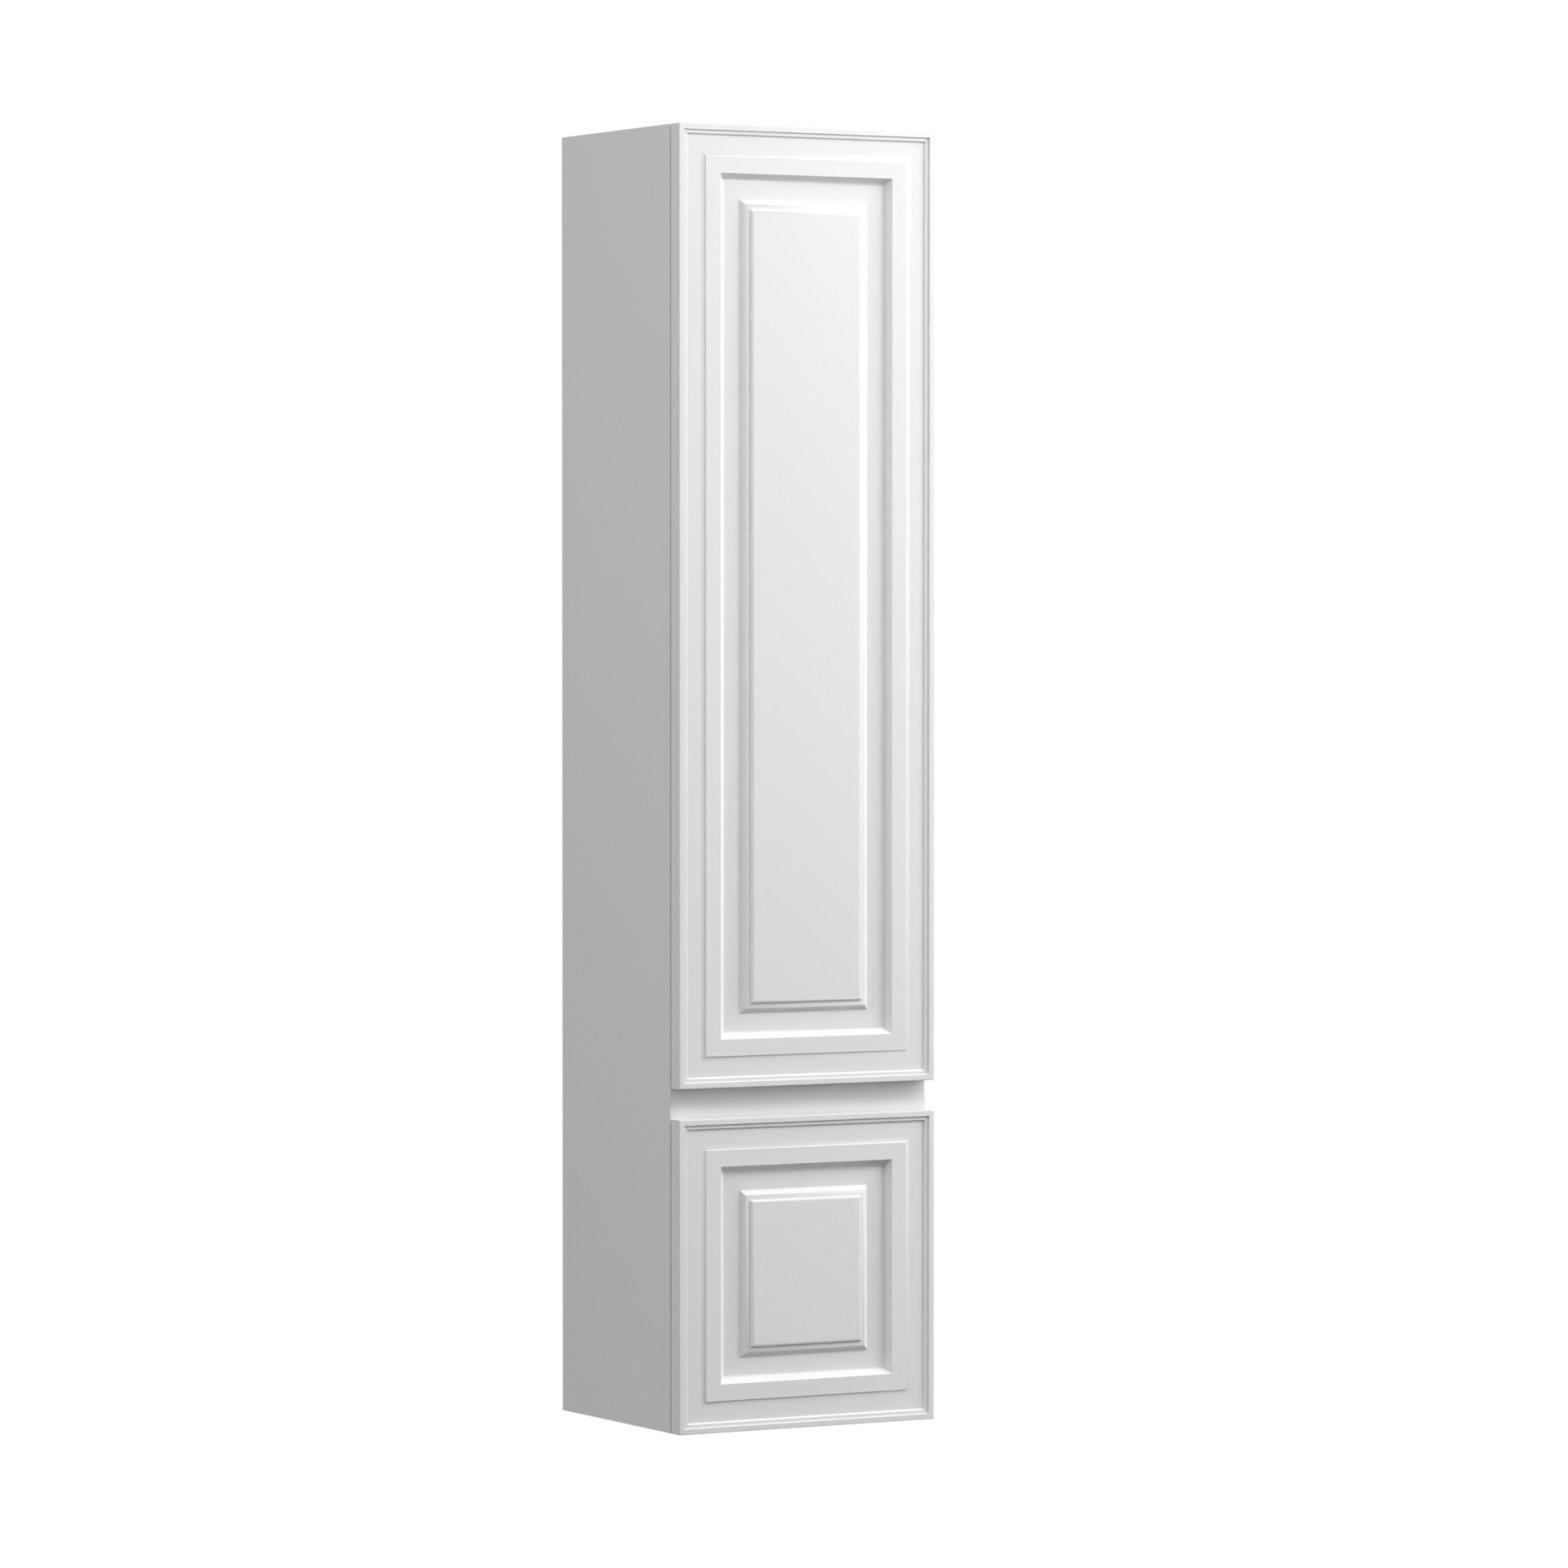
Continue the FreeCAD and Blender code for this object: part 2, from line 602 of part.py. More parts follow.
def back_panel():
    """The thin back in its grooves, with slots for the hooks and holes for the wall screws."""
    across = inner_width + 2 * s.groove_deep - 2 * s.groove_play
    tall = s.height - 2 * s.board + 2 * s.groove_deep - 2 * s.groove_play
    z = bottom_z + s.board - s.groove_deep + s.groove_play
    body = plank("back_panel", -(across / 2), back_y, z, across, s.back_thick, tall)
    slots = new_sketch(body, "XZ_Plane")
    for side in (-1, 1):
        rectangle(slots, across / 2 + side * hook_x - s.hook_slot / 2,
                  s.lip_top + s.hook_tall / 2 - s.hook_slot_tall / 2 - z, s.hook_slot, s.hook_slot_tall)
    pocket(body, slots, s.back_thick)
    from_edge = (across - inner_width) / 2
    up = s.lower_rail_height / 2 + bottom_z + s.board - z
    drill_y(body, 0, [(from_edge + x, up) for x in wall_screws_x], s.wall_screw_hole, s.back_thick, True)


back_panel()


def carcass_dowels():
    pieces = []
    for y, z in side_dowels:
        for start, along in ((left_inside - s.dowel_in_side, "x"), (right_inside + s.dowel_in_side, "-x")):
            pieces.append(rod("carcass_dowel", start, front_y + y, bottom_z + z, s.dowel,
                              s.dowel_in_side + s.dowel_in_end, along))
    group("carcass_dowels", pieces)


carcass_dowels()

# --- shelves -----------------------------------------------------------------------------------


def shelf_pin(x, y, z, into):
    """A metal pin: a shank in the side panel, a collar on its face and a peg under the shelf."""
    out = "x" if into == "-x" else "-x"
    shank = rod("pin_shank", x, y, z, s.pin, s.pin_in, into)
    collar = rod("pin_collar", x, y, z, s.pin_collar, s.pin_collar_thick, out)
    peg = rod("pin_peg", x, y, z, s.pin, s.pin_out, out)
    return joined("shelf_pin", [shank, collar, peg])


def shelves():
    pins = []
    for i in range(shelf_count):
        pin_z = pin_row_z + s.pin_pitch * (s.first_shelf_hole + s.shelf_step_count * i)
        shelf_z = pin_z + s.pin / 2
        shelf = plank("shelf_" + str(i + 1), -(shelf_width / 2), shelf_y, shelf_z,
                      shelf_width, shelf_depth, s.board)
        seats = new_sketch(shelf, "XY_Plane")
        reach = s.pin_out + s.shelf_clearance
        pin_seat = s.pin_collar + 2 * s.pin_seat_play
        for y in (front_y + s.pin_row_in, back_y - s.pin_row_back):
            low = y - shelf_y - pin_seat / 2
            rectangle(seats, 0, low, reach, pin_seat)
            rectangle(seats, shelf_width - reach, low, reach, pin_seat)
            pins.append(shelf_pin(left_inside, y, pin_z, "-x"))
            pins.append(shelf_pin(right_inside, y, pin_z, "x"))
        pocket(shelf, seats, pin_seat / 2 - s.pin / 2, reverse=True)
    group("shelf_pins", pins)


shelves()

# --- fronts ------------------------------------------------------------------------------------


def moulding(body, tall):
    """Mill the moulding: one profile swept round the front, and the centre sunk to its level."""
    profile = new_sketch(body, "YZ_Plane", s.width / 2)
    above = -s.front_thick / 2
    corners = [
        (above, s.rim_inset), (0, s.rim_inset), (s.step_depth, s.step_inset),
        (s.step_depth, s.ledge_inset), (s.field_depth, s.field_inset), (s.field_depth, s.bevel_inset),
        (s.frame_depth, s.frame_inset), (s.frame_depth, s.frame_inner_inset),
        (s.wall_foot_depth, s.wall_foot_inset), (s.recess_depth, s.cove_inset),
        (s.recess_depth, s.ovolo_inset), (s.ovolo_top_depth, s.ovolo_top_inset),
        (s.quirk_depth, s.quirk_inset), (s.frame_depth, s.panel_inset), (above, s.panel_inset)]
    hollow = 1
    round_out = -1
    outline(profile, corners, {3: (s.second_radius, hollow), 8: (s.cove_radius, hollow),
                               10: (s.ovolo_radius, round_out), 12: (s.panel_radius, round_out)})
    path = new_sketch(body, "XZ_Plane")
    outline(path, [(s.width / 2, 0), (s.width, 0), (s.width, tall), (0, tall), (0, 0)])
    before = body.Shape.Volume
    sweep = body.newObject("PartDesign::SubtractivePipe", body.Name + "_moulding")
    sweep.Profile = profile
    sweep.Spine = (path, [])
    sweep.Transition = "Right corner"
    doc.recompute()
    if not body.Shape.Volume < before:
        raise RuntimeError(body.Name + ": the moulding cuts nothing")
    centre = new_sketch(body, "XZ_Plane")
    inset = s.quirk_inset
    rectangle(centre, inset, inset, s.width - 2 * inset, tall - 2 * inset)
    pocket(body, centre, s.frame_depth)


def soften_arrises(body):
    """Round the four arrises of the front's outer face."""
    front_edges = []
    for i, edge in enumerate(body.Shape.Edges):
        if max(abs(vertex.Y - body.Shape.BoundBox.YMin) for vertex in edge.Vertexes) < 1e-6:
            front_edges.append("Edge" + str(i + 1))
    base = body.Tip
    rounding = body.newObject("PartDesign::Fillet", body.Name + "_arris")
    rounding.Base = (base, front_edges)
    bind(rounding, "Radius", s.arris_radius)
    doc.recompute()


def front(name, z, tall):
    """A milled front, drawn with its rim face on Y = 0."""
    body = new_body(name)
    sketch = new_sketch(body, "XZ_Plane")
    outline(sketch, [(0, 0), (s.width, 0), (s.width, tall), (0, tall)])
    pad(body, sketch, s.front_thick, reverse=True)
    soften_arrises(body)
    moulding(body, tall)
    put(body, -(s.width / 2), front_y - s.front_gap - s.front_thick, z)
    return keep(body, name)


door = front("door_front", door_z, door_height)
drawer_front = front("drawer_front", bottom_z, s.drawer_front_height)

hinge_heights = [s.hinge_from_end + (door_height - 2 * s.hinge_from_end) * (i / (hinge_count - 1))
                 for i in range(hinge_count)]
cup_in = s.cup_from_edge + s.cup_radius
cup_x = s.width / 2 - cup_in
cup_bore = 2 * s.cup_radius + s.cup_play
door_rear_y = front_y - s.front_gap

drill_y(door, s.front_thick, [(s.width - cup_in, z) for z in hinge_heights],
        cup_bore, s.cup_deep + s.cup_bore_play, False)
cup_screw_places = [(s.width - cup_in - s.cup_screw_in, z + side * s.cup_screw_spacing / 2)
                    for z in hinge_heights for side in (-1, 1)]
drill_y(door, s.front_thick, cup_screw_places, s.screw_shank + s.screw_play,
        s.screw_in + s.bore_end_play, False)

# --- concealed hinges --------------------------------------------------------------------------

side_outer_x = s.width / 2


def hinge_cup(index, z):
    """The pressed cup in the door, with its flange on the door's rear face."""
    rear = door_rear_y
    floor_y = rear - s.cup_deep
    shell = rod("cup_shell", cup_x, floor_y, z, 2 * s.cup_radius, s.cup_deep, "y")
    flange = box("cup_flange", side_outer_x - s.flange_in - s.flange_width, rear, z - s.flange_length / 2,
                 s.flange_width, s.flange_thick, s.flange_length)
    hollow = rod("cup_hollow", cup_x, floor_y + s.cup_wall, z, 2 * s.cup_radius - 2 * s.cup_wall,
                 s.cup_deep + s.flange_thick, "y")
    holes = [rod("cup_screw_hole", cup_x - s.cup_screw_in, rear - s.flange_thick,
                 z + side * s.cup_screw_spacing / 2, s.screw_shank + s.screw_play,
                 3 * s.flange_thick, "y") for side in (-1, 1)]
    solid = cut("cup_body", joined("cup_blank", [shell, flange]), joined("cup_cuts", [hollow] + holes))
    keep(solid, "hinge_cup_" + str(index))


arm_web_x = s.inner_pin_in + s.link_barrel + s.arm_head_room + s.arm_wall
arm_cheek_x = arm_web_x - s.arm_side_height


def hinge_arm(index, z):
    """The channel-shaped arm on the side panel: a web, two cheeks and the holes for two pins."""
    y = front_y + s.arm_front
    blank = box("arm_blank", side_outer_x - arm_web_x, y, z - s.arm_width / 2,
                s.arm_side_height, s.arm_length, s.arm_width)
    inside = box("arm_inside", side_outer_x - arm_web_x + s.arm_wall, y - s.arm_wall,
                 z - s.arm_width / 2 + s.arm_wall, s.arm_side_height, s.arm_length + 2 * s.arm_wall,
                 s.arm_width - 2 * s.arm_wall)
    pin_places = ((s.outer_pin_in, s.outer_pin_back), (s.inner_pin_in, s.inner_pin_back))
    holes = [rod("arm_pin_hole", side_outer_x - pin_in_place, front_y + pin_back, z - s.arm_width,
                 s.link_pin, 2 * s.arm_width, "z") for pin_in_place, pin_back in pin_places]
    solid = cut("arm_body", blank, joined("arm_cuts", [inside] + holes))
    keep(solid, "hinge_arm_" + str(index))


def hinge_plate(index, z):
    """The mounting plate: two wings screwed to the side panel and a saddle that holds the arm."""
    top = s.board + s.plate_thick
    saddle_wide = s.arm_width - 2 * s.arm_wall - 2 * s.saddle_play
    wings = box("plate_wings", side_outer_x - top, front_y + s.plate_from_front - s.plate_depth / 2,
                z - s.plate_height / 2, s.plate_thick, s.plate_depth, s.plate_height)
    saddle = box("plate_saddle", side_outer_x - arm_web_x + s.arm_wall + s.saddle_play,
                 front_y + s.plate_from_front - s.saddle_length / 2, z - saddle_wide / 2,
                 arm_web_x - s.arm_wall - s.saddle_play - s.board, s.saddle_length, saddle_wide)
    holes = [rod("plate_screw_hole", side_outer_x - top - s.plate_thick, front_y + s.plate_from_front,
                 z + side * s.plate_screw_spacing / 2, s.screw_shank + s.screw_play, 3 * s.plate_thick, "x")
             for side in (-1, 1)]
    solid = cut("plate_body", joined("plate_blank", [wings, saddle]), joined("plate_cuts", holes))
    keep(solid, "hinge_plate_" + str(index))


def turned(place, about, degrees):
    return Rotation(Vector(0, 0, 1), degrees).multVec(place - about) + about


def cup_pin_place(pin_in_place, pin_back, reach):
    """Where a link's cup pin lies with the door shut. Seen from the turning line it is half the
    door's opening angle away from the arm pin, so the link fits with the door shut and open."""
    pole = Vector(side_outer_x.value - s.pole_in.value, door_rear_y.value - s.pole_deep.value, 0)
    arm_pin = Vector(side_outer_x.value - pin_in_place.value, front_y.value + pin_back.value, 0)
    direction = (arm_pin - pole).normalize()
    return turned(pole + direction * reach.value, pole, -s.door_opening.value / 2), arm_pin


def strip(start, end, low, tall):
    """A flat strip of link steel from start to end, rounded at both."""
    along = end - start
    half = s.link_thick.value / 2
    plate = Part.makeBox(along.Length, 2 * half, tall, Vector(0, -half, 0))
    angle = math.degrees(math.atan2(along.y, along.x))
    plate.Placement = Placement(Vector(start.x, start.y, low), Rotation(Vector(0, 0, 1), angle))
    knuckle = Part.makeCylinder(half, tall, Vector(end.x, end.y, low))
    return plate.fuse(knuckle)


def link_layer(places, low, tall, end_radius, start_radius):
    """One bent strip through the places, with an eye at the cup end and one at the arm end."""
    shape = Part.makeCylinder(end_radius, tall, Vector(places[0].x, places[0].y, low))
    for start, end in zip(places, places[1:]):
        shape = shape.fuse(strip(start, end, low, tall))
    last = places[-1]
    return shape.fuse(Part.makeCylinder(start_radius, tall, Vector(last.x, last.y, low)))


def bend_places(cup_pin, arm_pin, deep_in, deep_back, rise_in, rise_back):
    """The link's four points, from the cup pin round its goose neck to the arm pin."""
    deep = Vector(side_outer_x.value - deep_in.value, front_y.value + deep_back.value, 0)
    rise = Vector(side_outer_x.value - rise_in.value, front_y.value + rise_back.value, 0)
    return [cup_pin, deep, rise, arm_pin]


outer_cup_pin, outer_arm_pin = cup_pin_place(s.outer_pin_in, s.outer_pin_back, s.outer_reach)
inner_cup_pin, inner_arm_pin = cup_pin_place(s.inner_pin_in, s.inner_pin_back, s.inner_reach)
outer_path = bend_places(outer_cup_pin, outer_arm_pin,
                         s.outer_deep_in, s.outer_deep_back, s.outer_rise_in, s.outer_rise_back)
inner_path = bend_places(inner_cup_pin, inner_arm_pin,
                         s.inner_deep_in, s.inner_deep_back, s.inner_rise_in, s.inner_rise_back)


def pin_bore(place, low, tall):
    return Part.makeCylinder(s.link_pin.value / 2 + s.pin_running.value, tall, Vector(place.x, place.y, low))


def free_shape(name, shape):
    """A sub-part whose shape is worked out from the sheet's values above."""
    feature = doc.addObject("Part::Feature", name)
    feature.Shape = shape
    feature.Placement = Placement()
    return keep(feature, name)


def outer_link(index, z):
    """Two bent cheeks joined by a barrel round the arm pin."""
    half = s.outer_link_width.value / 2
    cheek = s.outer_cheek.value
    barrel_foot = Vector(outer_arm_pin.x, outer_arm_pin.y, z - half)
    shape = Part.makeCylinder(s.link_barrel.value, 2 * half, barrel_foot)
    for low in (z - half, z + half - cheek):
        shape = shape.fuse(link_layer(outer_path, low, cheek, s.link_eye.value, s.link_barrel.value))
        shape = shape.cut(pin_bore(outer_cup_pin, low, cheek))
    shape = shape.cut(pin_bore(outer_arm_pin, z - half, 2 * half))
    free_shape("hinge_outer_link_" + str(index), shape.removeSplitter())


def inner_link(index, z):
    half = s.inner_link_width.value / 2
    shape = link_layer(inner_path, z - half, 2 * half, s.link_eye.value, s.link_barrel.value)
    shape = shape.cut(pin_bore(inner_arm_pin, z - half, 2 * half))
    shape = shape.cut(pin_bore(inner_cup_pin, z - half, 2 * half))
    free_shape("hinge_inner_link_" + str(index), shape.removeSplitter())


def upright_pin(place, low, tall):
    return Part.makeCylinder(s.link_pin.value / 2, tall, Vector(place.x, place.y, low))


def hinges():
    arm_pins = []
    outer_pins = []
    inner_pins = []
    plate_screws = []
    cup_screws = []
    for i, along_door in enumerate(hinge_heights):
        z = door_z + along_door
        hinge_cup(i + 1, z)
        hinge_arm(i + 1, z)
        hinge_plate(i + 1, z)
        outer_link(i + 1, z.value)
        inner_link(i + 1, z.value)
        for place in (outer_arm_pin, inner_arm_pin):
            arm_pins.append(upright_pin(place, z.value - s.arm_width.value / 2, s.arm_width.value))
        half = s.outer_link_width.value / 2
        cheek = s.outer_cheek.value
        outer_pins.append(upright_pin(outer_cup_pin, z.value - half, cheek))
        outer_pins.append(upright_pin(outer_cup_pin, z.value + half - cheek, cheek))
        inner_pins.append(upright_pin(inner_cup_pin, z.value - s.inner_link_width.value / 2,
                                      s.inner_link_width.value))
        for side in (-1, 1):
            plate_screws.append(screw("plate_screw", side_outer_x - s.board - s.plate_thick,
                                      front_y + s.plate_from_front, z + side * s.plate_screw_spacing / 2,
                                      "x", s.plate_thick + s.screw_in))
            cup_screws.append(screw("cup_screw", cup_x - s.cup_screw_in, door_rear_y + s.flange_thick,
                                    z + side * s.cup_screw_spacing / 2, "-y", s.flange_thick + s.screw_in))
    free_shape("hinge_arm_pins", Part.makeCompound(arm_pins))
    free_shape("hinge_outer_pins", Part.makeCompound(outer_pins))
    free_shape("hinge_inner_pins", Part.makeCompound(inner_pins))
    group("hinge_plate_screws", plate_screws)
    group("hinge_cup_screws", cup_screws)


hinges()
plate_screw_rows = [(s.plate_from_front, door_z - bottom_z + z + side * s.plate_screw_spacing / 2)
                    for z in hinge_heights for side in (-1, 1)]
drill_x(side_right, 0, plate_screw_rows, s.screw_shank + s.screw_play, s.screw_in + s.bore_end_play, True)

# --- drawer ------------------------------------------------------------------------------------

drawer_left = -(drawer_box_width / 2)
drawer_inside = drawer_box_width - 2 * s.drawer_board
drawer_rows = [s.drawer_dowel_from_edge, s.drawer_box_height / 2,
               s.drawer_box_height - s.drawer_dowel_from_edge]
drawer_bore = s.dowel + s.dowel_play
front_screw_rows = [(side * (s.width / 2 - s.front_screw_from_edge), drawer_box_z + s.front_screw_up + up)
                    for side in (-1, 1) for up in (0, s.front_screw_spacing)]


def drawer_side(name, x, inner_face, inwards_plus):
    body = plank(name, x, drawer_box_y, drawer_box_z, s.drawer_board, drawer_length, s.drawer_box_height)
    rows = [(y, z) for y in (s.drawer_board / 2, drawer_length - s.drawer_board / 2) for z in drawer_rows]
    drill_x(body, inner_face, rows, drawer_bore, s.drawer_dowel_in_side + s.bore_end_play, inwards_plus)
    groove = new_sketch(body, "YZ_Plane", inner_face)
    rectangle(groove, s.drawer_board - s.groove_deep, s.drawer_bottom_up,
              drawer_length - 2 * s.drawer_board + 2 * s.groove_deep, s.drawer_bottom_thick)
    pocket(body, groove, s.groove_deep, reverse=inwards_plus)
    holes = [(runner_y - drawer_box_y + y, s.runner_up) for y in runner_screw_rows]
    outer_face = s.drawer_board if inwards_plus else 0
    drill_x(body, outer_face, holes, s.screw_shank + s.screw_play,
            s.screw_in + s.bore_end_play, not inwards_plus)


def drawer_end(name, y, inner_face, inwards_plus):
    """The drawer box's inner front or back, between its sides, with the bottom's groove."""
    body = plank(name, drawer_left + s.drawer_board, y, drawer_box_z,
                 drawer_inside, s.drawer_board, s.drawer_box_height)
    drill_ends(body, drawer_inside, [(s.drawer_board / 2, z) for z in drawer_rows],
               drawer_bore, s.drawer_dowel_in_end + s.bore_end_play)
    groove = new_sketch(body, "XZ_Plane", inner_face)
    outline(groove, [(0, s.drawer_bottom_up), (drawer_inside, s.drawer_bottom_up),
                     (drawer_inside, s.drawer_bottom_up + s.drawer_bottom_thick),
                     (0, s.drawer_bottom_up + s.drawer_bottom_thick)])
    pocket(body, groove, s.groove_deep, reverse=not inwards_plus)
    return body


def drawer_box():
    drawer_side("drawer_side_left", drawer_left, s.drawer_board, False)
    drawer_side("drawer_side_right", -drawer_left - s.drawer_board, 0, True)
    inner_front = drawer_end("drawer_inner_front", drawer_box_y, -s.drawer_board, False)
    holes = [(x - drawer_left - s.drawer_board, z - drawer_box_z) for x, z in front_screw_rows]
    drill_y(inner_front, 0, holes, s.screw_shank + s.screw_play, s.drawer_board, True)
    drawer_end("drawer_back", drawer_box_y + drawer_length - s.drawer_board, 0, True)
    across = drawer_inside + 2 * s.groove_deep - 2 * s.groove_play
    deep = drawer_length - 2 * s.drawer_board + 2 * s.groove_deep - 2 * s.groove_play
    plank("drawer_bottom", -(across / 2), drawer_box_y + s.drawer_board - s.groove_deep + s.groove_play,
          drawer_box_z + s.drawer_bottom_up, across, deep, s.drawer_bottom_thick)
    pieces = []
    for y in (s.drawer_board / 2, drawer_length - s.drawer_board / 2):
        for z in drawer_rows:
            for start, along in ((drawer_left + s.drawer_board - s.drawer_dowel_in_side, "x"),
                                 (-drawer_left - s.drawer_board + s.drawer_dowel_in_side, "-x")):
                pieces.append(rod("drawer_dowel", start, drawer_box_y + y, drawer_box_z + z, s.dowel,
                                  s.drawer_dowel_in_side + s.drawer_dowel_in_end, along))
    group("drawer_dowels", pieces)
    group("front_screws", [screw("front_screw", x, drawer_box_y + s.drawer_board, z, "-y",
                                 s.drawer_board + s.front_screw_in) for x, z in front_screw_rows])


drawer_box()
drill_y(drawer_front, s.front_thick, [(s.width / 2 + x, z - bottom_z) for x, z in front_screw_rows],
        s.screw_shank + s.screw_play, s.front_screw_in + s.bore_end_play, False)

# --- runners -----------------------------------------------------------------------------------


def channel(name, side, corners, web, drilled):
    """One runner member, bent from sheet, standing along Y. side is -1 left, 1 right."""
    body = new_body(name)
    sketch = new_sketch(body, "XZ_Plane")
    outline(sketch, [(side * (inner_width / 2 - u), up) for u, up in corners])
    pad(body, sketch, drawer_length, reverse=True)
    if drilled:
        holes = [(y, 0) for y in runner_screw_rows]
        drill_x(body, side * (inner_width / 2 - web), holes, s.screw_shank + s.screw_play,
                s.runner_sheet, side < 0)
    put(body, 0, runner_y, runner_z)
    keep(body, name)


def cabinet_member(name, side):
    """The outer member: its web lies on the side panel, at 0, and its flanges point inwards."""
    half = s.runner_height / 2
    inner = half - s.runner_sheet
    channel(name, side, [(0, half), (0, -half), (s.cabinet_member_deep, -half),
                         (s.cabinet_member_deep, -inner), (s.runner_sheet, -inner), (s.runner_sheet, inner),
                         (s.cabinet_member_deep, inner), (s.cabinet_member_deep, half)], 0, True)


def middle_member(name, side):
    """The middle member: a web between flanges that reach out to both sides of it."""
    half = s.middle_member_height / 2
    inner = half - s.runner_sheet
    near = s.middle_member_from
    far = s.middle_member_from + s.middle_member_deep
    web = s.middle_member_web
    channel(name, side, [(far, inner), (far, half), (near, half), (near, inner), (web, inner),
                         (web, -inner), (near, -inner), (near, -half), (far, -half), (far, -inner),
                         (web + s.runner_sheet, -inner), (web + s.runner_sheet, inner)], web, False)


def drawer_member(name, side):
    """The inner member: its web lies on the drawer side and its flanges point outwards."""
    half = s.drawer_member_height / 2
    inner = half - s.runner_sheet
    near = s.runner_room - s.drawer_member_deep
    web = s.runner_room - s.runner_sheet
    channel(name, side, [(s.runner_room, half), (near, half), (near, inner), (web, inner),
                         (web, -inner), (near, -inner), (near, -half), (s.runner_room, -half)], web, True)


def runners():
    cabinet_screws = []
    drawer_screws = []
    for side, word in ((-1, "left"), (1, "right")):
        cabinet_member("runner_cabinet_" + word, side)
        middle_member("runner_middle_" + word, side)
        drawer_member("runner_drawer_" + word, side)
        into_side, into_drawer = ("x", "-x") if side > 0 else ("-x", "x")
        web_x = side * (inner_width / 2 - s.runner_sheet)
        drawer_web_x = side * (inner_width / 2 - s.runner_room + s.runner_sheet)
        for y in runner_screw_rows:
            cabinet_screws.append(flat_screw("runner_screw", web_x, runner_y + y, runner_z, into_side))
            drawer_screws.append(
                flat_screw("runner_drawer_screw", drawer_web_x, runner_y + y, runner_z, into_drawer))
    group("runner_screws", cabinet_screws)
    group("runner_drawer_screws", drawer_screws)


def flat_screw(name, x, y, z, into):
    """A flat-head screw that passes the runner's next member."""
    out = into[1:] if into.startswith("-") else "-" + into
    head = rod(name + "_head", x, y, z, s.screw_head, s.flat_head_thick, out)
    shank = rod(name + "_shank", x, y, z, s.screw_shank, s.runner_sheet + s.screw_in, into)
    return joined(name, [head, shank])


runners()
runner_holes = [(s.runner_setback + y, runner_z - bottom_z) for y in runner_screw_rows]
for side_body, face, plus in ((side_left, s.board, False), (side_right, 0, True)):
    drill_x(side_body, face, runner_holes, s.screw_shank + s.screw_play, s.screw_in + s.bore_end_play, plus)

# --- wall hangers ------------------------------------------------------------------------------


def wall_plate(name, side):
    """A pressed steel plate on the wall whose lip takes the hook, with two screw holes."""
    body = new_body(name)
    sketch = new_sketch(body, "YZ_Plane")
    metal = s.wall_plate_thick
    outline(sketch, [(0, -s.plate_below), (0, s.plate_above), (metal - s.lip_out, s.plate_above),
                     (metal - s.lip_out, s.lip_top), (-s.lip_out, s.lip_top),
                     (-s.lip_out, s.plate_above - metal), (-metal, s.plate_above - metal),
                     (-metal, -s.plate_below)])
    pad(body, sketch, s.plate_wide)
    holes = [(s.plate_wide / 2, -(s.plate_screw_gap / 2)), (s.plate_wide / 2, s.plate_screw_gap / 2)]
    drill_y(body, -metal, holes, s.plate_screw_hole, metal, True)
    left_edge = side * (inner_width / 2 - s.plate_inset - s.plate_wide / 2) - s.plate_wide / 2
    put(body, left_edge, 0, 0)
    keep(body, name)


def hanger(word, side):
    """A hanger in the upper corner: its body, the hook through the back and the cover."""
    middle_x = side * hook_x
    y = back_y - s.hanger_deep
    body_x = middle_x - s.hanger_wide / 2
    blank = box("hanger_blank", body_x, y, s.hanger_below, s.hanger_wide, s.hanger_deep, s.hanger_tall)
    slot = box("hanger_slot", middle_x - s.hook_thick / 2 - s.hook_play, back_y - s.hook_inside - s.hook_play,
               s.lip_top - s.hook_play, s.hook_thick + 2 * s.hook_play, s.hook_inside + 2 * s.hook_play,
               s.hook_tall + 2 * s.hook_play)
    adjuster_rows = (s.adjuster_up, s.hanger_tall - s.adjuster_up)
    seats = [rod("adjuster_seat", middle_x, y, s.hanger_below + up, s.adjuster + s.screw_play,
                 s.adjuster_in, "y") for up in adjuster_rows]
    keep(cut("hanger_frame", blank, joined("hanger_cuts", [slot] + seats)), "hanger_body_" + word)
    bar = box("hook_bar", middle_x - s.hook_thick / 2, back_y - s.hook_inside, s.lip_top, s.hook_thick,
              s.hook_inside - back_y - s.hook_wall_gap, s.hook_tall)
    tip_y = s.wall_plate_thick - s.lip_out + s.hook_tip_gap
    tip = box("hook_tip", middle_x - s.hook_thick / 2, tip_y, s.lip_top - s.hook_tip_drop, s.hook_thick,
              -tip_y - s.hook_wall_gap, s.hook_tip_drop)
    keep(joined("hook", [bar, tip]), "hanger_hook_" + word)
    room = s.cover_play + s.cover_wall
    inner = side * (inner_width / 2)
    outside = box("cover_outside", inner - s.hanger_wide - room if side > 0 else inner,
                  y - s.cover_front_room - s.cover_wall, s.hanger_below - room,
                  s.hanger_wide + room, s.hanger_deep + s.cover_front_room + s.cover_wall,
                  s.hanger_tall + 2 * room)
    inside = box("cover_inside", inner - s.hanger_wide - s.cover_play if side > 0 else inner,
                 y - s.cover_front_room, s.hanger_below - s.cover_play,
                 s.hanger_wide + s.cover_play, s.hanger_deep + s.cover_front_room,
                 s.hanger_tall + 2 * s.cover_play)
    keep(cut("cover_shell", outside, inside), "hanger_cover_" + word)
    return [rod("hanger_adjuster", middle_x, y + s.adjuster_in, s.hanger_below + up, s.adjuster,
                s.adjuster_in + s.cover_front_room / 2, "-y") for up in adjuster_rows]


wall_plate("wall_plate_left", -1)
wall_plate("wall_plate_right", 1)
group("hanger_adjusters", hanger("left", -1) + hanger("right", 1))

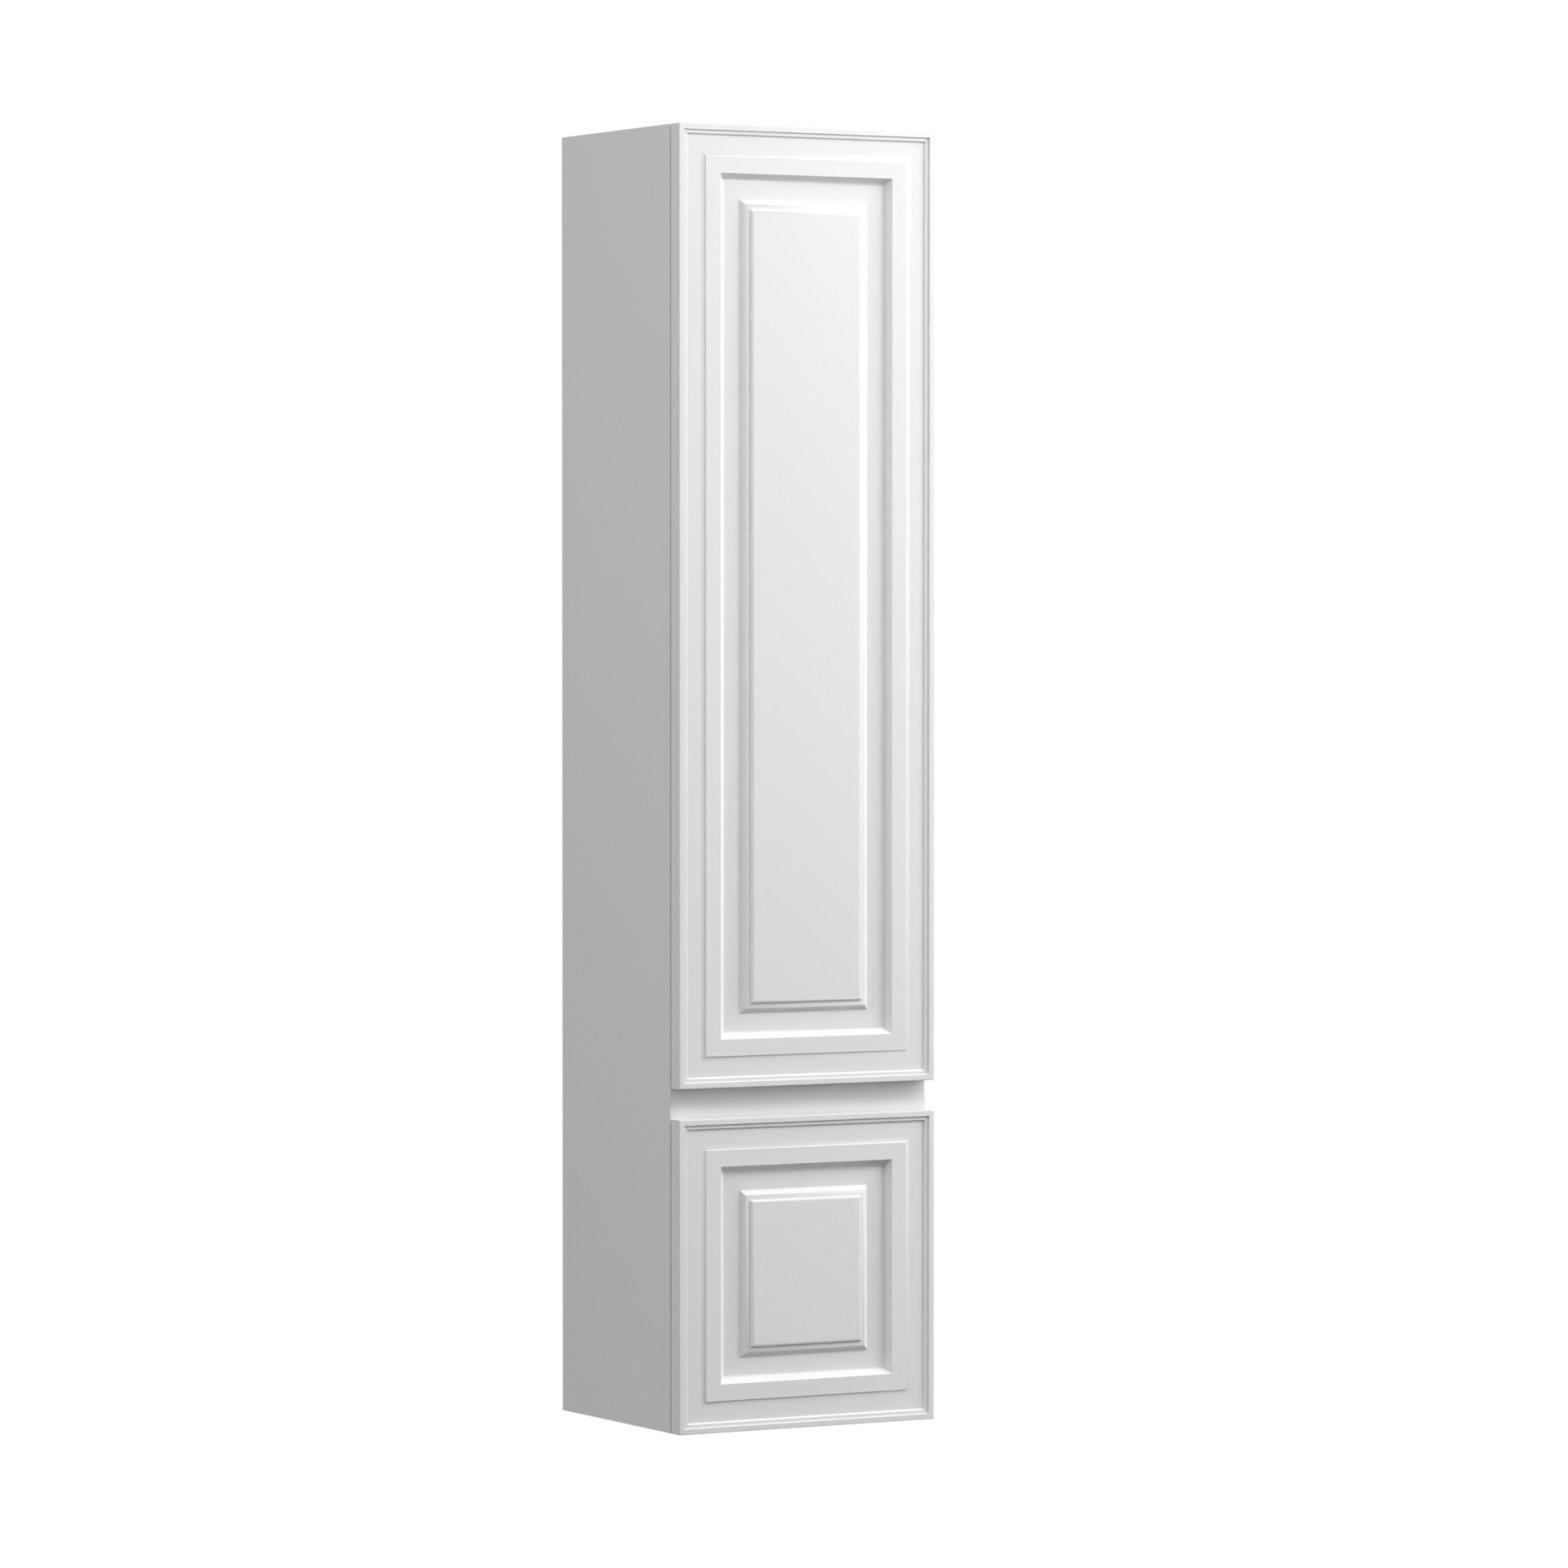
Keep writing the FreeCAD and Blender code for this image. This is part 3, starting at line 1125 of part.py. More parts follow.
# --- bumpers -----------------------------------------------------------------------------------


def front_bumpers():
    """Soft discs on the carcass's front edges: two stop the door, two stop the drawer front."""
    left_edge = -(s.width / 2) + s.board / 2
    places = [(left_edge, s.hang_drop - s.bumper_from_end), (left_edge, door_z + s.bumper_from_end),
              (left_edge, bottom_z + s.drawer_front_height - s.bumper_from_end),
              (-left_edge, bottom_z + s.drawer_front_height - s.bumper_from_end)]
    group("front_bumpers", [rod("bumper", x, front_y, z, s.bumper, s.bumper_thick, "-y") for x, z in places])


front_bumpers()

# --- check and write ---------------------------------------------------------------------------

doc.recompute()
for thing in doc.Objects:
    if "Invalid" in thing.State or "Error" in thing.State:
        raise RuntimeError(thing.Name + " failed: " + str(thing.State))
for part in parts:
    if part.Shape.isNull() or not part.Shape.isValid():
        raise RuntimeError(part.Label + " has no valid shape")

os.makedirs("parts", exist_ok=True)
for part in parts:
    part.Shape.exportStep("parts/" + part.Label + ".step")
print(len(parts), "sub-parts written")
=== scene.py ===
import json
import math

import bmesh
import bpy
from mathutils import Matrix, Vector


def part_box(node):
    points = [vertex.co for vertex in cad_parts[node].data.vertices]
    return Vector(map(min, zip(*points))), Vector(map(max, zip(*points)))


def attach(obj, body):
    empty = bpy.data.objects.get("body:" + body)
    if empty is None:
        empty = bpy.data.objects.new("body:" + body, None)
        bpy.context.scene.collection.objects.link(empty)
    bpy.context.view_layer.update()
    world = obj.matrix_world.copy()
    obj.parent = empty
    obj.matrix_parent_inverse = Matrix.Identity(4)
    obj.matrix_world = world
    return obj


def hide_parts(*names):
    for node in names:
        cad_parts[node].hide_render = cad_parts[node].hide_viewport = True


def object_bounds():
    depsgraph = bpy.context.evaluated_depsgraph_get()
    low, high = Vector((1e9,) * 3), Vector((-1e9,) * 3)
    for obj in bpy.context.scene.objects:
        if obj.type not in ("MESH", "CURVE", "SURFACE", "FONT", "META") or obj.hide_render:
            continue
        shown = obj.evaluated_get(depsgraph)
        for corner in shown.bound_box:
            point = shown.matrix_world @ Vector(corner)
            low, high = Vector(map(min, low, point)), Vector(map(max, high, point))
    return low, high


bl_info = {
    "name": "Tall Bathroom Cabinet",
    "version": (1, 0, 0),
    "blender": (4, 5, 0),
    "location": "View3D > Sidebar > Tall Cabinet",
    "description": "Dresses a tall wall-hung cabinet: moulded fronts, lacquered boards, fittings, stage",
    "category": "Object",
}

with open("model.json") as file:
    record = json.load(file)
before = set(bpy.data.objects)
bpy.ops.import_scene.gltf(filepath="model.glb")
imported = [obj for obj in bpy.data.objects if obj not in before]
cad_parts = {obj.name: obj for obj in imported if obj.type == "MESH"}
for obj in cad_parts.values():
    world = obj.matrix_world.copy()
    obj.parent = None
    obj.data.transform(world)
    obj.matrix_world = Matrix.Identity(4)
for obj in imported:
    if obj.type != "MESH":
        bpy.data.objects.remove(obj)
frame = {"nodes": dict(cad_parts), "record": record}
cad_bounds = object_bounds()

MM = 0.001
SAME_POINT = 1e-6  # points nearer than this, in metres, are one
SHARP_EDGE = math.radians(40)  # a sharper turn between CAD faces is an edge to soften
STRAIGHT = math.radians(165)  # a profile corner that opens wider than this stays as it is
MOST_OF_RUN = 0.45  # a softened corner takes at most this share of each run beside it
CUT_PAST = 1.0 * MM  # how far a bore's cutter reaches out of the wood
COAT_ROUGHNESS = 0.25
SCREW_HEAD = 3.5 * MM  # radius of a screw's head
SCREW_SHANK = 1.8 * MM  # radius of a screw's shank
DOMED_HEAD = 2.0 * MM  # height of a domed head
FLAT_HEAD = 1.4 * MM  # height of a runner screw's flat head
ADJUSTER_HEAD = 1.5 * MM  # height of a hanger adjuster's head
ADJUSTER_SHANK = 3.4 * MM  # radius of a hanger adjuster's shank
BUMPER_EDGE = 0.4 * MM  # rounding of the soft bumpers
FLOOR_REACH = 40.0  # half the floor's width, in metres
CAMERA_FAR = 200.0  # the camera sees this far, in metres
SLOT_OF = {part["node"]: part["material_slot"] for part in frame["record"]["subparts"]}
BODY_OF = {node: body for body, nodes in frame["record"]["behaviour"]["bodies"].items()
           for node in nodes}


# --- settings ----------------------------------------------------------------------------------


def length(label, value, description):
    """A length setting in millimetres."""
    return bpy.props.FloatProperty(name=label, default=value, description=description, precision=2)


def share(label, value, description):
    """A setting from 0 to 1."""
    return bpy.props.FloatProperty(
        name=label, default=value, min=0.0, max=1.0, description=description)


def watts(label, value, description):
    """A light's power."""
    return bpy.props.FloatProperty(
        name=label, default=value, min=0.0, subtype="POWER", description=description)


def colour(label, value, description):
    """A colour setting."""
    return bpy.props.FloatVectorProperty(
        name=label, default=value, size=3, min=0.0, max=1.0, subtype="COLOR", description=description)


class MouldingSettings(bpy.types.PropertyGroup):
    """The milled profile: insets from a front's edge and depths below its rim, in millimetres."""

    arris: length("Arris", 0.9, "Rounding of the front's outer edge")
    rim: length("Rim", 6.8, "Width of the flat rim")
    step: length("Step foot", 7.0, "Inset of the first step's foot")
    step_deep: length("Ledge depth", 2.4, "Depth of the ledge")
    ledge: length("Ledge end", 11.6, "Inset of the ledge's inner edge")
    field: length("Field start", 14.2, "Inset of the flat field's outer edge")
    field_deep: length("Field depth", 4.9, "Depth of the flat field")
    field_hollow: length("Field hollow", 2.6, "Radius of the hollow above the field")
    hollow: length("Hollow foot", 31.0, "Inset where the shallow hollow outside the raised frame begins")
    hollow_radius: length("Hollow radius", 25.7, "Radius of the shallow hollow")
    edge: length("Edge foot", 38.1, "Inset of the foot of the raised frame's short edge")
    edge_deep: length("Edge depth", 3.9, "Depth of the foot of the raised frame's short edge")
    frame_outer: length("Frame outer", 38.45, "Inset of the raised frame's outer edge")
    frame_deep: length("Frame depth", 2.7, "Depth of the raised frame and of the centre panel")
    frame_inner: length("Frame inner", 58.9, "Inset of the raised frame's inner edge")
    wall: length("Wall foot", 63.4, "Inset of the straight wall's foot")
    wall_deep: length("Wall depth", 9.6, "Depth of the straight wall's foot")
    cove: length("Cove end", 69.2, "Inset of the cove's inner end")
    cove_radius: length("Cove radius", 7.6, "Radius of the cove")
    recess_deep: length("Recess depth", 12.2, "Depth of the recess floor")
    ovolo: length("Ovolo foot", 89.8, "Inset of the foot of the panel's rounded edge")
    ovolo_top: length("Ovolo top", 102.2, "Inset of the top of the rounded edge")
    ovolo_top_deep: length("Ovolo top depth", 5.8, "Depth of the rounded edge's top")
    ovolo_radius: length("Ovolo radius", 15.0, "Radius of the rounded edge")
    quirk: length("Quirk", 102.4, "Inset of the small step's top")
    quirk_deep: length("Quirk depth", 4.0, "Depth of the small step's top")
    panel: length("Panel edge", 106.6, "Inset of the centre panel's flat face")
    panel_radius: length("Panel radius", 7.5, "Radius at the centre panel's edge")
    paint_edge: length("Paint edge", 0.25, "How much the paint rounds the moulding's arrises")


class LacquerSettings(bpy.types.PropertyGroup):
    """Paint and board finishes."""

    front: colour("Fronts", (0.88, 0.88, 0.878), "Lacquer of the door and the drawer front")
    carcass: colour("Carcass", (0.86, 0.86, 0.858), "Lacquer of the carcass boards")
    inside: colour("Inside", (0.84, 0.84, 0.83), "Facing of shelves and drawer boards")
    roughness: share("Roughness", 0.42, "Roughness of the satin lacquer")
    board_edge: length("Board edge", 0.3, "Rounding of the boards' edges")
    rear_edge: length("Rear edge", 0.25, "Rounding of the fronts' rear edges")


class FittingSettings(bpy.types.PropertyGroup):
    """Hinges, runners, screws and hangers."""

    nickel: colour("Nickel", (0.68, 0.66, 0.63), "Plating of the hinges and shelf pins")
    zinc: colour("Zinc", (0.62, 0.64, 0.67), "Plating of the runners and wall plates")
    plastic: colour("Plastic", (0.86, 0.86, 0.85), "Moulded covers of the hangers")
    cup_radius: length("Cup bore radius", 17.55, "Radius of the bores for the hinge cups")
    cup_from_edge: length("Cup centre", 20.5, "From the door's edge to the middle of a cup bore")
    cup_bore: length("Cup bore depth", 11.8, "Depth of the bores for the hinge cups")
    metal_edge: length("Metal edge", 0.18, "Rounding of the pressed steel's edges")


class StudioSettings(bpy.types.PropertyGroup):
    """Camera, floor and lights."""

    camera_place: bpy.props.FloatVectorProperty(
        name="Camera", default=(-4.2193, -7.783, -0.5111), size=3, subtype="TRANSLATION",
        description="Where the camera stands, in metres")
    camera_turn: bpy.props.FloatProperty(
        name="Camera turn", default=math.radians(29.25), subtype="ANGLE",
        description="How far the camera looks to the right of the wall's direction")
    camera_dip: bpy.props.FloatProperty(
        name="Camera dip", default=math.radians(1.437), subtype="ANGLE",
        description="How far the camera looks down")
    lens: bpy.props.FloatProperty(
        name="Lens", default=160.114, description="Focal length in millimetres on a 36 mm sensor")
    floor_below: bpy.props.FloatProperty(
        name="Floor below", default=0.45, subtype="DISTANCE", unit="LENGTH",
        description="From the cabinet's lower end down to the floor")
    floor: colour(
        "Floor", (0.1, 0.1, 0.1), "How much light the floor sends back up; the camera sees it white")
    upper: watts("Upper Light", 51.0, "Soft light in front, over the fronts' top")
    left: watts("Left Light", 83.0, "Wide light on the left side")
    left_high: watts("Left High Light", 20.5, "Soft light high on the left")
    right: watts("Right Light", 103.0, "Wide light on the right side")
    right_high: watts("Right High Light", 16.0, "Soft light high on the right")
    back: watts("Back Light", 80.0, "Wide light behind, which the front doesn't see")
    sky: share("Sky", 0.76, "Brightness of the surround overhead; it fades to nothing at eye level")
    glow: share("Glow", 0.4, "Brightness of the surround in reflections")


# --- shader groups and finishes ------------------------------------------------------------------


def new_group(name, inputs, outputs):
    """A shader node group with named sockets; returns it with its input and output nodes."""
    group = bpy.data.node_groups.new(name, "ShaderNodeTree")
    for label, kind, value in inputs:
        socket = group.interface.new_socket(label, in_out="INPUT", socket_type=kind)
        socket.default_value = value
    for label, kind in outputs:
        group.interface.new_socket(label, in_out="OUTPUT", socket_type=kind)
    return group, group.nodes.new("NodeGroupInput"), group.nodes.new("NodeGroupOutput")


def join(tree, source, target):
    """Link two sockets."""
    tree.links.new(source, target)


def noise(tree, vector, scale, detail):
    """A noise texture; scale is a number or a socket."""
    node = tree.nodes.new("ShaderNodeTexNoise")
    node.inputs["Detail"].default_value = detail
    join(tree, vector, node.inputs["Vector"])
    if isinstance(scale, (int, float)):
        node.inputs["Scale"].default_value = scale
    else:
        join(tree, scale, node.inputs["Scale"])
    return node.outputs["Fac"]


def swing(tree, value, middle, amount):
    """middle + (value - 0.5) * amount; middle and amount are numbers or sockets."""
    centred = tree.nodes.new("ShaderNodeMath")
    centred.operation = "SUBTRACT"
    join(tree, value, centred.inputs[0])
    centred.inputs[1].default_value = 0.5
    out = tree.nodes.new("ShaderNodeMath")
    out.operation = "MULTIPLY_ADD"
    join(tree, centred.outputs[0], out.inputs[0])
    for socket, number in ((out.inputs[1], amount), (out.inputs[2], middle)):
        if isinstance(number, (int, float)):
            socket.default_value = number
        else:
            join(tree, number, socket)
    return out.outputs[0]


def bump(tree, height, distance, strength):
    """A bump's normal; distance is a number or a socket."""
    node = tree.nodes.new("ShaderNodeBump")
    node.inputs["Strength"].default_value = strength
    if isinstance(distance, (int, float)):
        node.inputs["Distance"].default_value = distance
    else:
        join(tree, distance, node.inputs["Distance"])
    join(tree, height, node.inputs["Height"])
    return node.outputs["Normal"]


def scaled_colour(tree, tint, factor):
    """tint times factor, both sockets."""
    node = tree.nodes.new("ShaderNodeVectorMath")
    node.operation = "SCALE"
    join(tree, tint, node.inputs[0])
    join(tree, factor, node.inputs["Scale"])
    return node.outputs[0]


def stretched(tree, vector, factors):
    """A vector times the factors along each axis, both sockets."""
    node = tree.nodes.new("ShaderNodeVectorMath")
    node.operation = "MULTIPLY"
    join(tree, vector, node.inputs[0])
    join(tree, factors, node.inputs[1])
    return node.outputs[0]


def sprayed_paint_group():
    """Sprayed paint: a faint orange peel, slow drifts of tone and of sheen."""
    group, gin, gout = new_group(
        "Sprayed Paint",
        [("Vector", "NodeSocketVector", (0, 0, 0)), ("Colour", "NodeSocketColor", (1, 1, 1, 1)),
         ("Sheen", "NodeSocketFloat", 0.4), ("Peel Scale", "NodeSocketFloat", 420.0),
         ("Peel Height", "NodeSocketFloat", 0.00002), ("Drift", "NodeSocketFloat", 0.03)],
        [("Colour", "NodeSocketColor"), ("Roughness", "NodeSocketFloat"), ("Normal", "NodeSocketVector")])
    drift = noise(group, gin.outputs["Vector"], scale=3.1, detail=3.0)
    tone = swing(group, drift, middle=1.0, amount=gin.outputs["Drift"])
    join(group, scaled_colour(group, gin.outputs["Colour"], tone), gout.inputs["Colour"])
    cloud = noise(group, gin.outputs["Vector"], scale=23.0, detail=4.0)
    sheen = swing(group, cloud, gin.outputs["Sheen"], amount=0.09)
    join(group, sheen, gout.inputs["Roughness"])
    peel = noise(group, gin.outputs["Vector"], gin.outputs["Peel Scale"], detail=2.0)
    relief = bump(group, peel, gin.outputs["Peel Height"], strength=0.6)
    join(group, relief, gout.inputs["Normal"])
    return group


def faced_board_group():
    """Melamine facing: a fine pearl texture pressed into the sheet, with a few softer patches."""
    group, gin, gout = new_group(
        "Faced Board",
        [("Vector", "NodeSocketVector", (0, 0, 0)), ("Colour", "NodeSocketColor", (1, 1, 1, 1)),
         ("Sheen", "NodeSocketFloat", 0.5), ("Pearl Scale", "NodeSocketFloat", 1400.0),
         ("Pearl Height", "NodeSocketFloat", 0.00003)],
        [("Colour", "NodeSocketColor"), ("Roughness", "NodeSocketFloat"), ("Normal", "NodeSocketVector")])
    pearl = noise(group, gin.outputs["Vector"], gin.outputs["Pearl Scale"], detail=3.0)
    relief = bump(group, pearl, gin.outputs["Pearl Height"], strength=0.7)
    join(group, relief, gout.inputs["Normal"])
    patch = noise(group, gin.outputs["Vector"], scale=9.0, detail=4.0)
    sheen = swing(group, patch, gin.outputs["Sheen"], amount=0.12)
    join(group, sheen, gout.inputs["Roughness"])
    tone = swing(group, patch, middle=1.0, amount=0.025)
    join(group, scaled_colour(group, gin.outputs["Colour"], tone), gout.inputs["Colour"])
    return group


def plated_steel_group():
    """Plated sheet steel: rolled grain along one direction, cloudy plating and fine pits."""
    group, gin, gout = new_group(
        "Plated Steel",
        [("Vector", "NodeSocketVector", (0, 0, 0)), ("Colour", "NodeSocketColor", (1, 1, 1, 1)),
         ("Sheen", "NodeSocketFloat", 0.3), ("Grain", "NodeSocketVector", (60.0, 900.0, 900.0)),
         ("Cloud Scale", "NodeSocketFloat", 90.0)],
        [("Colour", "NodeSocketColor"), ("Roughness", "NodeSocketFloat"), ("Normal", "NodeSocketVector")])
    along = stretched(group, gin.outputs["Vector"], gin.outputs["Grain"])
    grain = noise(group, along, scale=1.0, detail=3.0)
    cloud = noise(group, gin.outputs["Vector"], gin.outputs["Cloud Scale"], detail=4.0)
    cloudy = swing(group, cloud, gin.outputs["Sheen"], amount=0.16)
    sheen = swing(group, grain, cloudy, amount=0.10)
    join(group, sheen, gout.inputs["Roughness"])
    tone = swing(group, cloud, middle=1.0, amount=0.16)
    join(group, scaled_colour(group, gin.outputs["Colour"], tone), gout.inputs["Colour"])
    join(group, bump(group, grain, distance=0.000012, strength=0.6), gout.inputs["Normal"])
    return group


def moulded_plastic_group():
    """Moulded plastic with the fine sparked texture of its tool."""
    group, gin, gout = new_group(
        "Moulded Plastic",
        [("Vector", "NodeSocketVector", (0, 0, 0)), ("Colour", "NodeSocketColor", (1, 1, 1, 1)),
         ("Sheen", "NodeSocketFloat", 0.5), ("Spark Scale", "NodeSocketFloat", 1800.0)],
        [("Colour", "NodeSocketColor"), ("Roughness", "NodeSocketFloat"), ("Normal", "NodeSocketVector")])
    spark = noise(group, gin.outputs["Vector"], gin.outputs["Spark Scale"], detail=2.0)
    join(group, bump(group, spark, distance=0.00003, strength=0.6), gout.inputs["Normal"])
    flow = noise(group, gin.outputs["Vector"], scale=40.0, detail=3.0)
    sheen = swing(group, flow, gin.outputs["Sheen"], amount=0.12)
    join(group, sheen, gout.inputs["Roughness"])
    tone = swing(group, flow, middle=1.0, amount=0.03)
    join(group, scaled_colour(group, gin.outputs["Colour"], tone), gout.inputs["Colour"])
    return group


def beech_group():
    """Turned beech: fine grain along X with short darker flecks."""
    group, gin, gout = new_group(
        "Turned Beech",
        [("Vector", "NodeSocketVector", (0, 0, 0)), ("Grain", "NodeSocketVector", (70.0, 900.0, 900.0)),
         ("Light Wood", "NodeSocketColor", (0.62, 0.43, 0.26, 1)),
         ("Dark Wood", "NodeSocketColor", (0.42, 0.26, 0.14, 1))],
        [("Colour", "NodeSocketColor"), ("Roughness", "NodeSocketFloat"), ("Normal", "NodeSocketVector")])
    along = stretched(group, gin.outputs["Vector"], gin.outputs["Grain"])
    grain = noise(group, along, scale=1.0, detail=5.0)
    mix = group.nodes.new("ShaderNodeMix")
    mix.data_type = "RGBA"
    join(group, grain, mix.inputs["Factor"])
    join(group, gin.outputs["Light Wood"], mix.inputs["A"])
    join(group, gin.outputs["Dark Wood"], mix.inputs["B"])
    join(group, mix.outputs["Result"], gout.inputs["Colour"])
    join(group, swing(group, grain, middle=0.6, amount=0.2), gout.inputs["Roughness"])
    join(group, bump(group, grain, distance=0.00006, strength=0.8), gout.inputs["Normal"])
    return group


GROUP_MAKERS = {
    "Sprayed Paint": sprayed_paint_group,
    "Faced Board": faced_board_group,
    "Plated Steel": plated_steel_group,
    "Moulded Plastic": moulded_plastic_group,
    "Turned Beech": beech_group,
}


def finish_material(name, group_name, values, metallic=0.0, coat=0.0):
    """A material whose Principled shader is fed by one of the shader groups."""
    found = bpy.data.materials.get(name)
    if found:
        return found
    group = bpy.data.node_groups.get(group_name) or GROUP_MAKERS[group_name]()
    material = bpy.data.materials.new(name)
    material.use_nodes = True
    tree = material.node_tree
    shader = tree.nodes["Principled BSDF"]
    place = tree.nodes.new("ShaderNodeTexCoord")
    surface = tree.nodes.new("ShaderNodeGroup")
    surface.node_tree = group
    for label, value in values.items():
        surface.inputs[label].default_value = value
    join(tree, place.outputs["Object"], surface.inputs["Vector"])
    join(tree, surface.outputs["Colour"], shader.inputs["Base Color"])
    join(tree, surface.outputs["Roughness"], shader.inputs["Roughness"])
    join(tree, surface.outputs["Normal"], shader.inputs["Normal"])
    shader.inputs["Metallic"].default_value = metallic
    shader.inputs["Coat Weight"].default_value = coat
    shader.inputs["Coat Roughness"].default_value = COAT_ROUGHNESS
    return material


def opaque(tint, factor=1.0):
    """A colour times a factor, with full alpha."""
    return (tint[0] * factor, tint[1] * factor, tint[2] * factor, 1.0)


def finishes():
    """For each material slot: the material's name, its shader group, the group's inputs, and how
    metallic and how coated it is."""
    lacquer = bpy.context.scene.tall_cabinet_lacquer
    fittings = bpy.context.scene.tall_cabinet_fittings
    return {
        "front_lacquer": ("Front Lacquer", "Sprayed Paint", {
            "Colour": opaque(lacquer.front), "Sheen": lacquer.roughness, "Drift": 0.012}, 0.0, 0.08),
        "carcass_lacquer": ("Carcass Lacquer", "Sprayed Paint", {
            "Colour": opaque(lacquer.carcass), "Sheen": lacquer.roughness + 0.03,
            "Peel Scale": 520.0, "Drift": 0.015}, 0.0, 0.05),
        "shelf_board": ("Shelf Facing", "Faced Board", {
            "Colour": opaque(lacquer.inside), "Sheen": 0.48}),
        "thin_board": ("Thin Board Facing", "Faced Board", {
            "Colour": opaque(lacquer.inside, 0.97), "Sheen": 0.58, "Pearl Scale": 1000.0}),
        "drawer_board": ("Drawer Board Facing", "Faced Board", {
            "Colour": opaque(lacquer.inside, 0.985), "Sheen": 0.52, "Pearl Scale": 1200.0}),
        "nickel": ("Nickel Plating", "Plated Steel", {
            "Colour": opaque(fittings.nickel), "Sheen": 0.24, "Grain": (300.0, 300.0, 300.0)}, 1.0),
        "zinc_steel": ("Zinc Plating", "Plated Steel", {
            "Colour": opaque(fittings.zinc), "Sheen": 0.34, "Grain": (900.0, 50.0, 900.0)}, 1.0),
        "screw_steel": ("Screw Plating", "Plated Steel", {
            "Colour": opaque(fittings.zinc, 1.04), "Sheen": 0.28,
            "Grain": (500.0, 500.0, 500.0), "Cloud Scale": 300.0}, 1.0),
        "hanger_plastic": ("Hanger Plastic", "Moulded Plastic", {
            "Colour": opaque(fittings.plastic, 0.86), "Sheen": 0.55}),
        "cover_plastic": ("Cover Plastic", "Moulded Plastic", {
            "Colour": opaque(fittings.plastic), "Sheen": 0.42}),
        "clear_rubber": ("Bumper Rubber", "Moulded Plastic", {
            "Colour": (0.74, 0.74, 0.71, 1.0), "Sheen": 0.33, "Spark Scale": 700.0}),
        "beech_dowel": ("Beech", "Turned Beech", {}),
    }


def slot_material(slot):
    """The finish of one of the record's material slots."""
    return finish_material(*finishes()[slot])


# --- meshes --------------------------------------------------------------------------------------


def keep_faces_flat(piece):
    """Shade a piece's large faces flat up to their softened edges."""
    level = piece.modifiers.new("Flat Faces", "WEIGHTED_NORMAL")
    level.keep_sharp = True


def dress(nodes, edge):
    """Give CAD nodes their finish, and soften their edges by edge metres."""
    for node in nodes:
        piece = frame["nodes"][node]
        piece.data.materials.clear()
        piece.data.materials.append(slot_material(SLOT_OF[node]))
        if edge <= 0.0:
            continue
        weld = piece.modifiers.new("Weld", "WELD")
        weld.merge_threshold = SAME_POINT
        soft = piece.modifiers.new("Edges", "BEVEL")
        soft.width = edge
        soft.segments = 2
        soft.limit_method = "ANGLE"
        soft.angle_limit = SHARP_EDGE
        soft.use_clamp_overlap = True
        soft.harden_normals = False
        keep_faces_flat(piece)


def new_piece(name, bm, node, smooth_below=35.0):
    """Turn a bmesh into the piece that stands for a CAD node, with that node's body and finish."""
    for face in bm.faces:
        face.smooth = True
    mesh = bpy.data.meshes.new(name)
    bm.to_mesh(mesh)
    bm.free()
    mesh.set_sharp_from_angle(angle=math.radians(smooth_below))
    mesh.materials.append(slot_material(SLOT_OF[node]))
    piece = bpy.data.objects.new(name, mesh)
    bpy.context.scene.collection.objects.link(piece)
    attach(piece, BODY_OF[node])
    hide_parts(node)
    keep_faces_flat(piece)
    return piece


def subtract(mesh_owner, cutter_bm):
    """Cut a bmesh out of an object's mesh, for bores and recesses."""
    mesh = bpy.data.meshes.new("cutter")
    cutter_bm.to_mesh(mesh)
    cutter_bm.free()
    cutter = bpy.data.objects.new("cutter", mesh)
    bpy.context.scene.collection.objects.link(cutter)
    cut = mesh_owner.modifiers.new("Cut", "BOOLEAN")
    cut.operation = "DIFFERENCE"
    cut.solver = "EXACT"
    cut.object = cutter
    depsgraph = bpy.context.evaluated_depsgraph_get()
    result = bpy.data.meshes.new_from_object(mesh_owner.evaluated_get(depsgraph))
    mesh_owner.modifiers.remove(cut)
    bpy.data.objects.remove(cutter)
    bpy.data.meshes.remove(mesh)
    out = bmesh.new()
    out.from_mesh(result)
    bpy.data.meshes.remove(result)
    return out


def cut_bmesh(bm, cutter_bm):
    """bm with cutter_bm taken away."""
    mesh = bpy.data.meshes.new("blank")
    bm.to_mesh(mesh)
    bm.free()
    holder = bpy.data.objects.new("blank", mesh)
    bpy.context.scene.collection.objects.link(holder)
    out = subtract(holder, cutter_bm)
    bpy.data.objects.remove(holder)
    bpy.data.meshes.remove(mesh)
    return out


def block(low, high):
    """A rectangular bmesh block between two corners."""
    bm = bmesh.new()
    bmesh.ops.create_cube(bm, size=1.0)
    size = high - low
    bmesh.ops.scale(bm, vec=size, verts=bm.verts)
    bmesh.ops.translate(bm, vec=(low + high) / 2, verts=bm.verts)
    return bm


def arc_points(here, there, radius, hollow, count):
    """Points after here up to there on a short arc. A hollow arc bulges into the wood; insets and
    depths are the two coordinates."""
    chord = there - here
    half = chord.length / 2
    into = Vector((-chord.y, chord.x)).normalized()
    if into.y < 0:
        into = -into
    sag = math.sqrt(radius * radius - half * half)
    centre = (here + there) / 2 + into * (-sag if hollow else sag)
    first = math.atan2(here.y - centre.y, here.x - centre.x)
    last = math.atan2(there.y - centre.y, there.x - centre.x)
    turn = (last - first + math.pi) % (2 * math.pi) - math.pi
    return [centre + Vector((math.cos(first + turn * i / count), math.sin(first + turn * i / count))) * radius
            for i in range(1, count + 1)]


